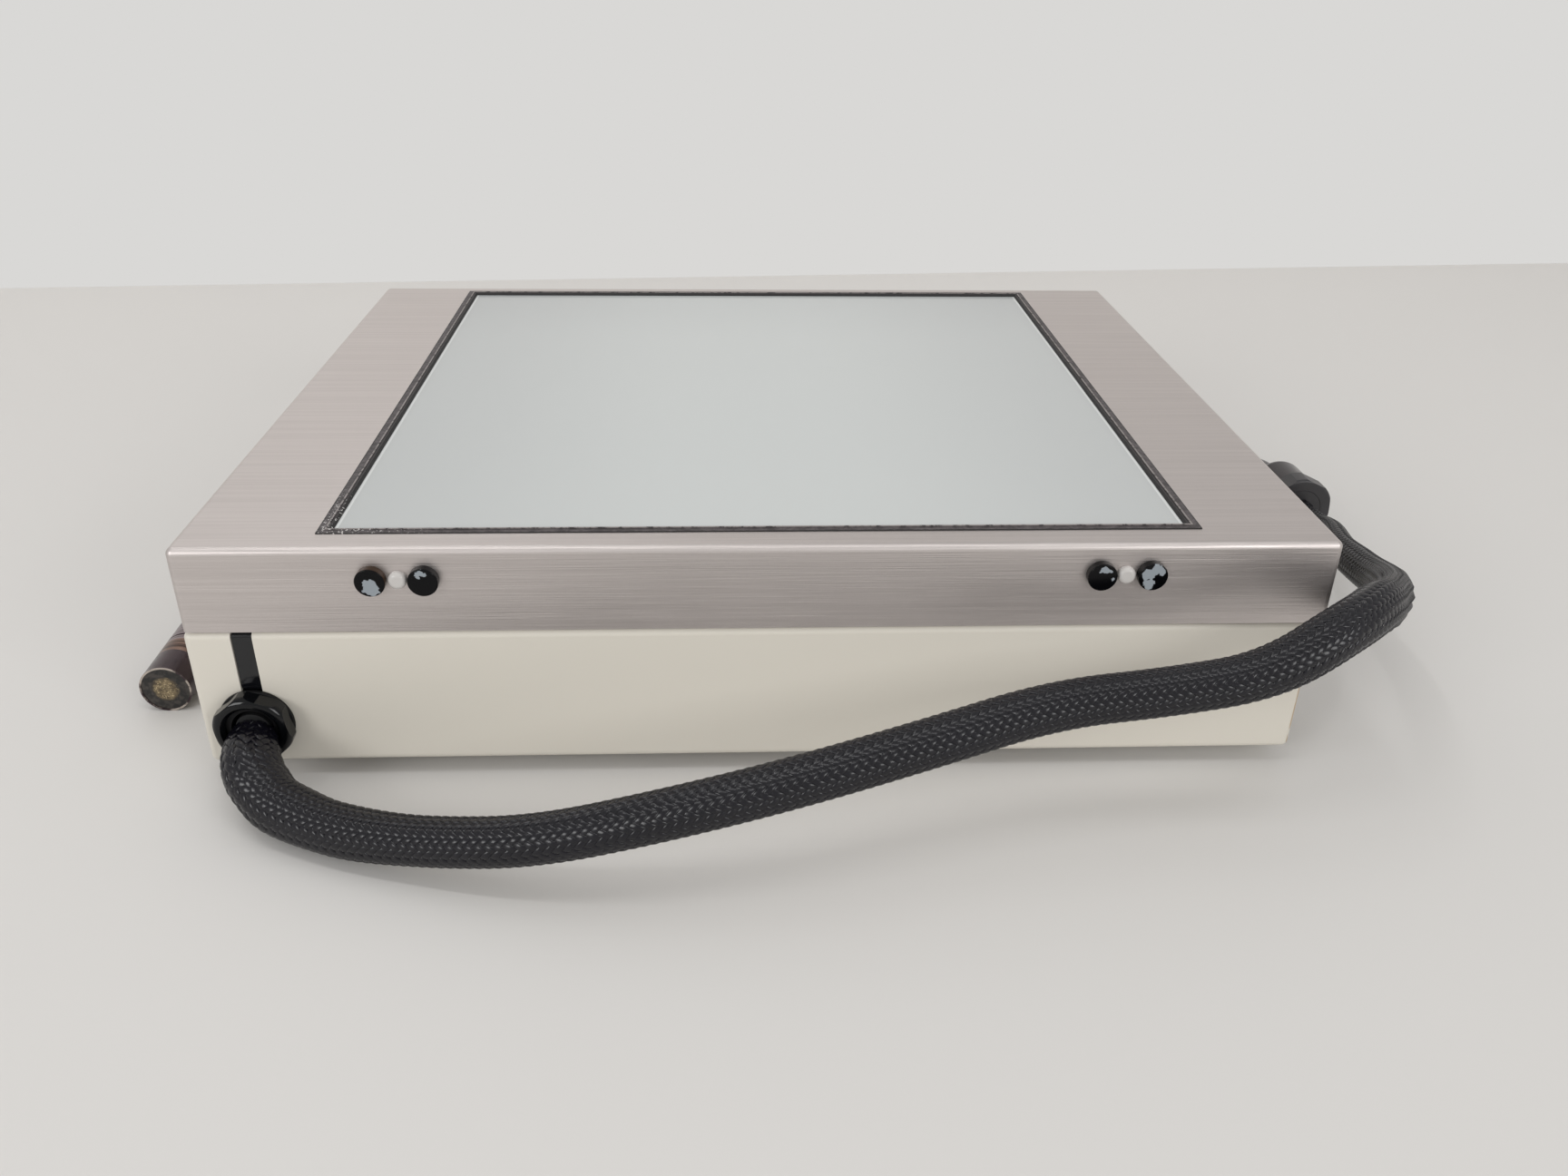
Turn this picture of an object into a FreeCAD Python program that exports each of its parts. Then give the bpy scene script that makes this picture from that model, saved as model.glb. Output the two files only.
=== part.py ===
"""Light table lit through a fibre light guide: a folded base, a lift-off cover and the guide.

Millimetres. X runs to the right along the front, Y runs to the back and Z points up.
The origin is on the bench, in the middle of the footprint of the box and its front discs.
"""
import FreeCAD, Part
import math
import os

V = FreeCAD.Vector

os.makedirs("parts", exist_ok=True)

# Cover: a stainless sheet pan with a square window, 15.5 by 12.6 inches outside
COVER_WIDTH = 395.2
COVER_DEPTH = 321.2
SKIRT_HEIGHT = 31.3
COVER_SHEET = 1.2
COVER_BEND = 2.4
COVER_CENTRE_X = 0.6

# Window and what it is built from
WINDOW_SIDE_BORDER = 46.1
WINDOW_FRONT_BORDER = 11.4
WINDOW_BACK_BORDER = 7.6
GLASS_GAP = 2.5
GLASS_THICKNESS = 4.0
GLASS_DROP = 0.8
SEAL_PROUD = 0.3
SEAL_LIP = 2.2
GLASS_REBATE = 0.4
SEAL_RIDGE_WIDTH = 0.6
SEAL_RIDGE_HEIGHT = 0.4
LEDGE_SHEET = 1.2
LEDGE_SHELF = 9.0
LEDGE_FLANGE = 4.4
DIFFUSER_THICKNESS = 3.0
CLIP_WIDTH = 14.0
CLIP_FLANGE = 12.0
CLIP_TAB = 6.0
CLIP_STUD_RADIUS = 1.5
CLIP_STUD_LENGTH = 6.0
CLIP_NUT_FLATS = 5.5
CLIP_NUT_HEIGHT = 2.4

# Discs and clear bumpers on the front of the cover
DISC_RADIUS = 5.1
DISC_THICKNESS = 3.0
DISC_EDGE = 0.4
DISC_PAIR_INSET = 74.6
DISC_SPACING = 17.4
DISC_DROP = 11.3
BUMPER_RADIUS = 3.1
BUMPER_THICKNESS = 2.4
BUMPER_EDGE = 1.5

# Base: a folded steel tray with an inward rim
COVER_OVERHANG_X = 1.0
COVER_OVERHANG_Y = 0.2
BASE_HEIGHT = 53.3
BASE_SHEET = 1.5
BASE_BEND = 2.5
BASE_RIM = 12.0
BASE_CENTRE_X = -1.0
COVER_GAP = 0.5

# Corner posts that locate the cover and carry it
POST_LEG = 22.0
POST_SHEET = 1.5
POST_BEND = 2.5
POST_PAD = 14.0
POST_SETBACK = 3.0
SMALL_SCREW_RADIUS = 1.5
SMALL_HEAD_RADIUS = 2.8
SMALL_HEAD_HEIGHT = 1.8
SMALL_SCREW_LENGTH = 7.5

# Feet
FOOT_HEIGHT = 6.4
FOOT_TOP_RADIUS = 9.0
FOOT_BOTTOM_RADIUS = 7.5
FOOT_RECESS_RADIUS = 4.2
FOOT_RECESS_DEPTH = 3.4
FOOT_INSET = 30.0
M4_RADIUS = 2.0
M4_HEAD_RADIUS = 3.6
M4_HEAD_HEIGHT = 2.4
M4_NUT_FLATS = 7.0
M4_NUT_HEIGHT = 3.2
M4_LENGTH = 9.2
SCREW_CLEARANCE = 0.3
THREAD_CLEARANCE = 0.05

# Cable gland in the front wall, and the slot above it
GLAND_INSET = 19.6
GLAND_HEIGHT = 24.3
GLAND_NECK_RADIUS = 11.0
GLAND_NECK_LENGTH = 12.0
GLAND_FLANGE_RADIUS = 13.0
GLAND_FLANGE_THICKNESS = 1.4
GLAND_WASHER_THICKNESS = 0.6
GLAND_SPIGOT_RADIUS = 10.8
GLAND_SPIGOT_LENGTH = 3.4
GLAND_BORE_RADIUS = 7.4
GLAND_NUT_FLATS = 25.0
GLAND_NUT_CORNER_RADIUS = 13.7
GLAND_NUT_LENGTH = 6.0
GLAND_NUT_TURN = 10.0
GLAND_NUT_ROUNDING = 2.6
GLAND_FACE_GAP = 0.2
GLAND_LIP_RADIUS = 9.2
GLAND_MOUTH_FLARE = 1.2
GLAND_EDGE = 0.5
LOCKNUT_FLATS = 27.0
LOCKNUT_THICKNESS = 4.0
SLOT_WIDTH = 7.3
HOLE_CLEARANCE = 0.2
STRIP_THICKNESS = 1.6
STRIP_GAP_LEFT = 0.4
STRIP_GAP_RIGHT = 0.1
STRIP_RECESS = 0.5
STRIP_BEND = 2.0
STRIP_BACKING = 13.0

# Light guide: braided sleeve, coupling, smooth jacket and plug
SLEEVE_RADIUS = 8.25
JACKET_RADIUS = 6.5
COUPLING_ASIDE = 77.4
COUPLING_Y = 30.0
COUPLING_NUT_FLATS = 30.0
COUPLING_NUT_CORNER_RADIUS = 16.0
COUPLING_NUT_LENGTH = 10.0
COUPLING_NUT_TURN = 5.0
COUPLING_NUT_ROUNDING = 1.4
COUPLING_BARREL_RADIUS = 13.4
COUPLING_BARREL_LENGTH = 26.0
PLUG_ASIDE = 32.4
PLUG_SETBACK = 43.6
PLUG_RADIUS = 9.75
PLUG_TIP_LENGTH = 14.0
PLUG_RIM = 0.7
PLUG_FACE_RECESS = 0.3
PLUG_FACE_DEPTH = 5.0
FIBRE_CORE_RADIUS = 5.4
BAND_LENGTH = 8.5
SPACER_LENGTH = 3.0
PLUG_GROOVE_LENGTH = 1.0
PLUG_GROOVE_DEPTH = 0.7
PLUG_BARREL_LENGTH = 27.0
BOOT_LENGTH = 28.0
BOOT_FRONT_RADIUS = 8.6
BOOT_BACK_RADIUS = 7.3
RUN_SHARE = 0.45

# Inside the base: two fibre light bars, a reflector and the split fibre bundle
BAR_WIDTH = 24.0
BAR_HEIGHT = 24.0
BAR_BOTTOM = 22.0
BAR_INSET = 13.5
BAR_FRONT = 66.0
BAR_BACK = 16.0
BAR_PLATE = 2.0
LENS_RADIUS = 4.0
LENS_CLEARANCE = 0.2
LENS_HEIGHT = 16.0
FIBRE_LINE_HEIGHT = 3.0
FIBRE_LINE_DEPTH = 6.0
BRACKET_SHEET = 1.5
BRACKET_WIDTH = 20.0
BRACKET_LEG = 18.0
BRACKET_SETBACK = 40.0
REFLECTOR_SHEET = 1.0
REFLECTOR_EDGE_HEIGHT = 24.0
REFLECTOR_RIDGE_HEIGHT = 50.0
REFLECTOR_SAG = 6.0
REFLECTOR_SIDE_GAP = 3.0
REFLECTOR_LIP = 9.0
REFLECTOR_END_GAP = 7.0
REFLECTOR_WALL_TOP = 56.0
STANDOFF_RADIUS = 3.2
STANDOFF_FRONT = 67.0
STANDOFF_BACK = 44.0
BUNDLE_RADIUS = 6.0
BRANCH_RADIUS = 4.0
SPLITTER_WIDTH = 24.0
SPLITTER_LENGTH = 24.0
SPLITTER_TOP = 36.0
SPLITTER_SETBACK = 36.0
SPLITTER_FOOT = 8.0
SPLITTER_FOOT_THICKNESS = 2.5
BRANCH_HEIGHT = 15.0
BRANCH_SETBACK = 20.0
BRANCH_STRAIGHT = 20.0
CLIP_LEG = 9.0
BRANCH_CLIP_WIDTH = 8.0
BRANCH_CLIP_SHEET = 1.0

# Places worked out from the sizes above
BASE_WIDTH = COVER_WIDTH - 2 * COVER_OVERHANG_X
BASE_DEPTH = COVER_DEPTH - 2 * COVER_OVERHANG_Y
FRONT = -(COVER_DEPTH - DISC_THICKNESS) / 2
BACK = FRONT + COVER_DEPTH
BASE_FRONT = FRONT + (COVER_DEPTH - BASE_DEPTH) / 2
BASE_BACK = BASE_FRONT + BASE_DEPTH
BASE_LEFT = BASE_CENTRE_X - BASE_WIDTH / 2
BASE_RIGHT = BASE_CENTRE_X + BASE_WIDTH / 2
BASE_TOP = FOOT_HEIGHT + BASE_HEIGHT
FLOOR = FOOT_HEIGHT + BASE_SHEET
COVER_LEFT = COVER_CENTRE_X - COVER_WIDTH / 2
COVER_RIGHT = COVER_CENTRE_X + COVER_WIDTH / 2
COVER_BOTTOM = BASE_TOP + COVER_GAP
COVER_TOP = COVER_BOTTOM + SKIRT_HEIGHT
COVER_UNDERSIDE = COVER_TOP - COVER_SHEET
WINDOW = (
    COVER_LEFT + WINDOW_SIDE_BORDER,
    COVER_RIGHT - WINDOW_SIDE_BORDER,
    FRONT + WINDOW_FRONT_BORDER,
    BACK - WINDOW_BACK_BORDER,
)
GLASS_TOP = COVER_TOP - GLASS_DROP
GLASS_BOTTOM = GLASS_TOP - GLASS_THICKNESS
DIFFUSER_TOP = GLASS_BOTTOM - LEDGE_SHEET
DIFFUSER_BOTTOM = DIFFUSER_TOP - DIFFUSER_THICKNESS
GLAND_X = BASE_LEFT + GLAND_INSET
GLAND_FLANGE_BACK = BASE_FRONT - GLAND_WASHER_THICKNESS
GLAND_FLANGE_FRONT = GLAND_FLANGE_BACK - GLAND_FLANGE_THICKNESS
SPIGOT_FACE = GLAND_FLANGE_FRONT - GLAND_SPIGOT_LENGTH
COUPLING_X = COVER_RIGHT + COUPLING_ASIDE
COUPLING_Z = COUPLING_NUT_CORNER_RADIUS
PLUG_X = COVER_LEFT - PLUG_ASIDE
PLUG_FACE_Y = FRONT + PLUG_SETBACK
COUPLING_LIP = GLAND_NUT_LENGTH - GLAND_SPIGOT_LENGTH + GLAND_FACE_GAP
BAR_FRONT_Y = BASE_FRONT + BAR_FRONT
BAR_BACK_Y = BASE_BACK - BAR_BACK
LENS_Z = BAR_BOTTOM + LENS_HEIGHT


def block(x0, x1, y0, y1, z0, z1):
    return Part.makeBox(x1 - x0, y1 - y0, z1 - z0, V(x0, y0, z0))


def rod(radius, start, end):
    start = V(*start)
    along = V(*end) - start
    return Part.makeCylinder(radius, along.Length, start, along)


def cone(start_radius, end_radius, start, end):
    start = V(*start)
    along = V(*end) - start
    return Part.makeCone(start_radius, end_radius, along.Length, start, along)


def hex_prism(across_flats, start, length, turn, corner_radius=None):
    """Hexagonal bar along +Y from start, its corners turned down to corner_radius."""
    radius = across_flats / 2 / math.cos(math.pi / 6)
    corners = []
    for side in range(7):
        angle = math.radians(turn + 30 + 60 * side)
        offset = V(radius * math.cos(angle), 0, radius * math.sin(angle))
        corners.append(V(*start) + offset)
    bar = Part.Face(Part.makePolygon(corners)).extrude(V(0, length, 0))
    if corner_radius:
        end = (start[0], start[1] + length, start[2])
        bar = bar.common(rod(corner_radius, start, end))
    return bar


def upright_hex(across_flats, x, y, z0, z1):
    radius = across_flats / 2 / math.cos(math.pi / 6)
    corners = []
    for side in range(7):
        angle = math.radians(60 * side)
        corners.append(V(x + radius * math.cos(angle), y + radius * math.sin(angle), z0))
    return Part.Face(Part.makePolygon(corners)).extrude(V(0, 0, z1 - z0))


def pan_screw(shank_radius, head_radius, head_height, head_base, tip):
    """Screw with its head outside head_base, pointing from head_base to tip."""
    base = V(*head_base)
    along = V(*tip) - base
    unit = along * (1 / along.Length)
    head = Part.makeCylinder(head_radius, head_height, base - unit * head_height, unit)
    far_rim = [edge for edge in head.Edges
               if edge.Closed and (edge.CenterOfMass - base).Length > head_height / 2]
    head = head.makeChamfer(head_height / 3, far_rim)
    return head.fuse(Part.makeCylinder(shank_radius, along.Length, base, unit)).removeSplitter()


def window_ring(inner_offset, outer_offset, z0, z1):
    """Square ring round the window: offsets count outwards from the window's edge."""
    x0, x1, y0, y1 = WINDOW
    outer = block(x0 - outer_offset, x1 + outer_offset, y0 - outer_offset, y1 + outer_offset, z0, z1)
    inner = block(x0 - inner_offset, x1 + inner_offset, y0 - inner_offset, y1 + inner_offset, z0, z1)
    return outer.cut(inner)


def window_plate(offset, z0, z1):
    x0, x1, y0, y1 = WINDOW
    return block(x0 - offset, x1 + offset, y0 - offset, y1 + offset, z0, z1)


def edges_at_height(shape, z):
    return [edge for edge in shape.Edges
            if all(abs(vertex.Z - z) < 1e-6 for vertex in edge.Vertexes)]


def save(name, shapes):
    shape = Part.makeCompound(shapes) if isinstance(shapes, list) else shapes
    shape.exportStep("parts/%s.step" % name)


def rounded_block(x0, x1, y0, y1, z0, z1, radius):
    """Block with its upright edges and its top edges rounded alike."""
    whole = block(x0, x1, y0, y1, z0, z1)
    edges = [edge for edge in whole.Edges
             if any(abs(vertex.Z - z1) < 1e-6 for vertex in edge.Vertexes)]
    return whole.makeFillet(radius, edges)


def top_cover():
    """Pan folded from one sheet; its corners are welded and dressed to the bends' radius."""
    outer = rounded_block(COVER_LEFT, COVER_RIGHT, FRONT, BACK, COVER_BOTTOM, COVER_TOP, COVER_BEND)
    inner = rounded_block(
        COVER_LEFT + COVER_SHEET, COVER_RIGHT - COVER_SHEET,
        FRONT + COVER_SHEET, BACK - COVER_SHEET,
        COVER_BOTTOM - 1, COVER_UNDERSIDE, COVER_BEND - COVER_SHEET,
    )
    return outer.cut(inner).cut(window_plate(0, COVER_UNDERSIDE - 1, COVER_TOP + 1))


def window_ledge():
    """Welded Z-section frame under the window: it carries the glass on its inward shelf."""
    shelf = window_ring(-LEDGE_SHELF, LEDGE_SHEET, DIFFUSER_TOP, GLASS_BOTTOM)
    web = window_ring(0, LEDGE_SHEET, GLASS_BOTTOM, COVER_UNDERSIDE)
    flange = window_ring(0, LEDGE_FLANGE, COVER_UNDERSIDE - LEDGE_SHEET, COVER_UNDERSIDE)
    return shelf.fuse([web, flange]).removeSplitter()


def window_glass():
    """Opal pane with a shallow step ground round its edge, where the seal's lip lies."""
    pane = window_plate(-GLASS_GAP, GLASS_BOTTOM, GLASS_TOP - GLASS_REBATE)
    face = window_plate(-GLASS_GAP - SEAL_LIP, GLASS_TOP - GLASS_REBATE, GLASS_TOP)
    return pane.fuse(face).removeSplitter()


def window_seal():
    """Rubber frame: a foot in the gap round the glass, and a lip with a ridge over its edge."""
    seal_top = COVER_TOP + SEAL_PROUD
    lip_edge = GLASS_GAP + SEAL_LIP
    step = GLASS_TOP - GLASS_REBATE
    lip = window_ring(-lip_edge, 0, step, seal_top)
    x0, x1, y0, y1 = WINDOW
    inner_edges = [edge for edge in edges_at_height(lip, seal_top)
                   if edge.BoundBox.XMin > x0 + 1 and edge.BoundBox.XMax < x1 - 1
                   and edge.BoundBox.YMin > y0 + 1 and edge.BoundBox.YMax < y1 - 1]
    lip = lip.makeChamfer((GLASS_DROP + SEAL_PROUD) * 0.7, inner_edges)
    foot = window_ring(-GLASS_GAP, 0, GLASS_BOTTOM, step)
    ridge = window_ring(-GLASS_GAP - SEAL_RIDGE_WIDTH, -GLASS_GAP,
                        seal_top, seal_top + SEAL_RIDGE_HEIGHT)
    return lip.fuse([foot, ridge]).removeSplitter()


def diffuser_sheet():
    return window_plate(LEDGE_SHEET, DIFFUSER_BOTTOM, DIFFUSER_TOP)


def clip_places():
    """Side (-1 left, 1 right) and Y of each clip that holds the diffuser up."""
    middle = (WINDOW[2] + WINDOW[3]) / 2
    reach = (WINDOW[3] - WINDOW[2]) / 2 - 4 * CLIP_WIDTH
    return [(side, middle + step * reach) for side in (-1, 1) for step in (-1, 0, 1)]


def clip_x(side, offset):
    return WINDOW[1] + offset if side > 0 else WINDOW[0] - offset


def clip_strip(side, y, near, far, z0, z1):
    low_x, high_x = sorted((clip_x(side, near), clip_x(side, far)))
    return block(low_x, high_x, y - CLIP_WIDTH / 2, y + CLIP_WIDTH / 2, z0, z1)


def diffuser_clips():
    web = LEDGE_FLANGE + 1
    clips = []
    for side, y in clip_places():
        flange = clip_strip(side, y, web, web + CLIP_FLANGE,
                            COVER_UNDERSIDE - LEDGE_SHEET, COVER_UNDERSIDE)
        upright = clip_strip(side, y, web, web + LEDGE_SHEET,
                             DIFFUSER_BOTTOM - LEDGE_SHEET, COVER_UNDERSIDE)
        tab = clip_strip(side, y, -CLIP_TAB, web + LEDGE_SHEET,
                         DIFFUSER_BOTTOM - LEDGE_SHEET, DIFFUSER_BOTTOM)
        hole_x = clip_x(side, web + CLIP_FLANGE * 0.6)
        hole = rod(CLIP_STUD_RADIUS + SCREW_CLEARANCE,
                   (hole_x, y, COVER_UNDERSIDE - 3), (hole_x, y, COVER_UNDERSIDE + 1))
        clips.append(flange.fuse([upright, tab]).removeSplitter().cut(hole))
    return clips


def clip_studs():
    web = LEDGE_FLANGE + 1
    studs = []
    for side, y in clip_places():
        x = clip_x(side, web + CLIP_FLANGE * 0.6)
        studs.append(rod(CLIP_STUD_RADIUS, (x, y, COVER_UNDERSIDE - CLIP_STUD_LENGTH),
                         (x, y, COVER_UNDERSIDE)))
    return studs


def clip_nuts():
    web = LEDGE_FLANGE + 1
    nuts = []
    top = COVER_UNDERSIDE - LEDGE_SHEET
    for side, y in clip_places():
        x = clip_x(side, web + CLIP_FLANGE * 0.6)
        nut = upright_hex(CLIP_NUT_FLATS, x, y, top - CLIP_NUT_HEIGHT, top)
        bore = rod(CLIP_STUD_RADIUS + THREAD_CLEARANCE, (x, y, top - 9), (x, y, top + 1))
        nuts.append(nut.cut(bore))
    return nuts


def disc_group_x(side):
    return COVER_CENTRE_X + side * (COVER_WIDTH / 2 - DISC_PAIR_INSET)


def front_piece(radius, thickness, edge, x):
    z = COVER_TOP - DISC_DROP
    piece = rod(radius, (x, FRONT, z), (x, FRONT - thickness, z))
    front_rim = [rim for rim in piece.Edges if rim.Closed and rim.CenterOfMass.y < FRONT - thickness / 2]
    return piece.makeFillet(edge, front_rim)


def front_discs():
    discs = []
    for pair in (-1, 1):
        for step in (-1, 1):
            x = disc_group_x(pair) + step * DISC_SPACING / 2
            discs.append(front_piece(DISC_RADIUS, DISC_THICKNESS, DISC_EDGE, x))
    return discs


def front_bumpers():
    return [front_piece(BUMPER_RADIUS, BUMPER_THICKNESS, BUMPER_EDGE,
                        disc_group_x(pair)) for pair in (-1, 1)]


def foot_places():
    return [(x, y) for x in (BASE_LEFT + FOOT_INSET, BASE_RIGHT - FOOT_INSET)
            for y in (BASE_FRONT + FOOT_INSET, BASE_BACK - FOOT_INSET)]


def base_tray():
    """Folded tray: floor, four walls, an inward rim, and a keyhole for the gland in front."""
    outer = block(BASE_LEFT, BASE_RIGHT, BASE_FRONT, BASE_BACK, FOOT_HEIGHT, BASE_TOP)
    outer = outer.makeFillet(BASE_BEND, outer.Edges)
    inner = block(
        BASE_LEFT + BASE_SHEET, BASE_RIGHT - BASE_SHEET,
        BASE_FRONT + BASE_SHEET, BASE_BACK - BASE_SHEET,
        FLOOR, BASE_TOP - BASE_SHEET,
    )
    inner = inner.makeFillet(BASE_BEND - BASE_SHEET, inner.Edges)
    mouth = block(
        BASE_LEFT + BASE_RIM, BASE_RIGHT - BASE_RIM,
        BASE_FRONT + BASE_RIM, BASE_BACK - BASE_RIM,
        BASE_TOP - 2 * BASE_SHEET, BASE_TOP + 1,
    )
    tray = outer.cut(inner).cut(mouth)
    slot = block(GLAND_X - SLOT_WIDTH / 2, GLAND_X + SLOT_WIDTH / 2,
                 BASE_FRONT - 1, BASE_FRONT + BASE_RIM + 1, GLAND_HEIGHT, BASE_TOP + 1)
    hole = rod(GLAND_NECK_RADIUS + HOLE_CLEARANCE,
               (GLAND_X, BASE_FRONT - 1, GLAND_HEIGHT),
               (GLAND_X, BASE_FRONT + 2 * BASE_SHEET, GLAND_HEIGHT))
    tray = tray.cut(slot).cut(hole)
    for x, y in foot_places():
        tray = tray.cut(rod(M4_RADIUS + SCREW_CLEARANCE, (x, y, FOOT_HEIGHT - 1), (x, y, FLOOR + 1)))
    for x, y in post_screw_places():
        tray = tray.cut(rod(SMALL_SCREW_RADIUS + SCREW_CLEARANCE,
                            (x, y, BASE_TOP - 4), (x, y, BASE_TOP + 1)))
    return tray


def post_corners():
    """Outer corner of each post, on the flat of the base's rim, with the ways inwards."""
    return [(edge_x + in_x * POST_SETBACK, wall_y + in_y * POST_SETBACK, in_x, in_y)
            for edge_x, in_x in ((BASE_LEFT, 1), (BASE_RIGHT, -1))
            for wall_y, in_y in ((BASE_FRONT, 1), (BASE_BACK, -1))]


def post_block(corner, x_near, x_far, y_near, y_far, z0, z1):
    x, y, in_x, in_y = corner
    low_x, high_x = sorted((x + in_x * x_near, x + in_x * x_far))
    low_y, high_y = sorted((y + in_y * y_near, y + in_y * y_far))
    return block(low_x, high_x, low_y, high_y, z0, z1)


def post_screw_places():
    """Each post's foot lies on the side rim and its screw goes through the middle of it."""
    x_reach = (POST_SHEET + BASE_RIM - POST_SETBACK) / 2
    return [(x + in_x * x_reach, y + in_y * POST_LEG * 0.7) for x, y, in_x, in_y in post_corners()]


def corner_posts():
    """Angles screwed to the rim: the cover's skirt drops round them, its top rests on them."""
    posts = []
    for corner, place in zip(post_corners(), post_screw_places()):
        outer = post_block(corner, 0, POST_LEG, 0, POST_LEG, BASE_TOP, COVER_UNDERSIDE)
        outer_edges = [edge for edge in edges_at_height(outer, COVER_UNDERSIDE)
                       if abs(edge.CenterOfMass.x - corner[0]) < 1e-6
                       or abs(edge.CenterOfMass.y - corner[1]) < 1e-6]
        outer = outer.makeFillet(POST_BEND, outer_edges)
        hollow = post_block(corner, POST_SHEET, POST_LEG + 1, POST_SHEET, POST_LEG + 1,
                            BASE_TOP - 1, COVER_UNDERSIDE - POST_SHEET)
        post = outer.cut(hollow)
        for near_x, near_y in ((POST_PAD, POST_SHEET), (POST_SHEET, POST_PAD)):
            post = post.cut(post_block(corner, near_x, POST_LEG + 1, near_y, POST_LEG + 1,
                                       COVER_UNDERSIDE - 2 * POST_SHEET, COVER_UNDERSIDE + 1))
        foot = post_block(corner, 0, BASE_RIM - POST_SETBACK, 0, POST_LEG,
                          BASE_TOP, BASE_TOP + POST_SHEET)
        hole = rod(SMALL_SCREW_RADIUS + SCREW_CLEARANCE,
                   (place[0], place[1], BASE_TOP - 1), (place[0], place[1], BASE_TOP + 3))
        posts.append(post.fuse(foot).removeSplitter().cut(hole))
    return posts


def post_screws():
    seat = BASE_TOP + POST_SHEET
    return [pan_screw(SMALL_SCREW_RADIUS, SMALL_HEAD_RADIUS, SMALL_HEAD_HEIGHT,
                      (x, y, seat), (x, y, seat - SMALL_SCREW_LENGTH)) for x, y in post_screw_places()]


def rubber_feet():
    feet = []
    for x, y in foot_places():
        foot = cone(FOOT_BOTTOM_RADIUS, FOOT_TOP_RADIUS, (x, y, 0), (x, y, FOOT_HEIGHT))
        foot = foot.cut(rod(FOOT_RECESS_RADIUS, (x, y, -1), (x, y, FOOT_RECESS_DEPTH)))
        foot = foot.cut(rod(M4_RADIUS + SCREW_CLEARANCE, (x, y, -1), (x, y, FOOT_HEIGHT + 1)))
        feet.append(foot)
    return feet


def foot_screws():
    seat = FOOT_RECESS_DEPTH
    return [pan_screw(M4_RADIUS, M4_HEAD_RADIUS, M4_HEAD_HEIGHT,
                      (x, y, seat), (x, y, seat + M4_LENGTH)) for x, y in foot_places()]


def foot_nuts():
    nuts = []
    for x, y in foot_places():
        nut = upright_hex(M4_NUT_FLATS, x, y, FLOOR, FLOOR + M4_NUT_HEIGHT)
        nuts.append(nut.cut(rod(M4_RADIUS + THREAD_CLEARANCE, (x, y, FLOOR - 1), (x, y, FLOOR + 9))))
    return nuts


def slot_strip():
    """Black strip bent over the rim to shut the slot, with a wider backing plate inside."""
    left = GLAND_X - SLOT_WIDTH / 2 + STRIP_GAP_LEFT
    right = GLAND_X + SLOT_WIDTH / 2 - STRIP_GAP_RIGHT
    bottom = GLAND_HEIGHT + GLAND_FLANGE_RADIUS
    face_y = BASE_FRONT + STRIP_RECESS
    back_y = BASE_FRONT + BASE_SHEET
    top = BASE_TOP - STRIP_RECESS
    bent = block(left, right, face_y, BASE_FRONT + BASE_RIM, bottom, top)
    hollow = block(left - 1, right + 1, face_y + STRIP_THICKNESS, BASE_FRONT + BASE_RIM + 1,
                   bottom - 1, top - STRIP_THICKNESS)
    for_bend = [edge for edge in edges_at_height(bent, top)
                if abs(edge.CenterOfMass.y - face_y) < 1e-6]
    backing_bottom = GLAND_HEIGHT + LOCKNUT_FLATS / 2 / math.cos(math.pi / 6) + 1
    locknut_room = block(left - 1, right + 1, back_y, back_y + STRIP_THICKNESS,
                         bottom - 1, backing_bottom)
    bent = bent.makeFillet(STRIP_BEND, for_bend).cut(hollow).cut(locknut_room)
    backing = block(GLAND_X - STRIP_BACKING / 2, GLAND_X + STRIP_BACKING / 2,
                    back_y, back_y + STRIP_THICKNESS, backing_bottom,
                    BASE_TOP - BASE_SHEET - BASE_BEND)
    return bent.fuse(backing).removeSplitter()


def gland_washer():
    ring = rod(GLAND_FLANGE_RADIUS - 0.4, (GLAND_X, GLAND_FLANGE_BACK, GLAND_HEIGHT),
               (GLAND_X, BASE_FRONT, GLAND_HEIGHT))
    return ring.cut(rod(GLAND_NECK_RADIUS + HOLE_CLEARANCE, (GLAND_X, GLAND_FLANGE_BACK - 1, GLAND_HEIGHT),
                        (GLAND_X, BASE_FRONT + 1, GLAND_HEIGHT)))


def gland_body():
    """Black bushing: a spigot for the nut, a round flange and a neck through the wall."""
    z = GLAND_HEIGHT
    spigot = rod(GLAND_SPIGOT_RADIUS, (GLAND_X, SPIGOT_FACE, z), (GLAND_X, GLAND_FLANGE_FRONT, z))
    flange = rod(GLAND_FLANGE_RADIUS, (GLAND_X, GLAND_FLANGE_FRONT, z), (GLAND_X, GLAND_FLANGE_BACK, z))
    rims = [edge for edge in flange.Edges
            if edge.Closed and abs(edge.CenterOfMass.y - GLAND_FLANGE_FRONT) < 1e-6]
    flange = flange.makeFillet(GLAND_EDGE, rims)
    neck_end = BASE_FRONT + GLAND_NECK_LENGTH
    neck = rod(GLAND_NECK_RADIUS, (GLAND_X, GLAND_FLANGE_BACK, z), (GLAND_X, neck_end, z))
    bore = rod(GLAND_BORE_RADIUS, (GLAND_X, SPIGOT_FACE - 1, z), (GLAND_X, neck_end + 1, z))
    return spigot.fuse([flange, neck]).removeSplitter().cut(bore)


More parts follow.
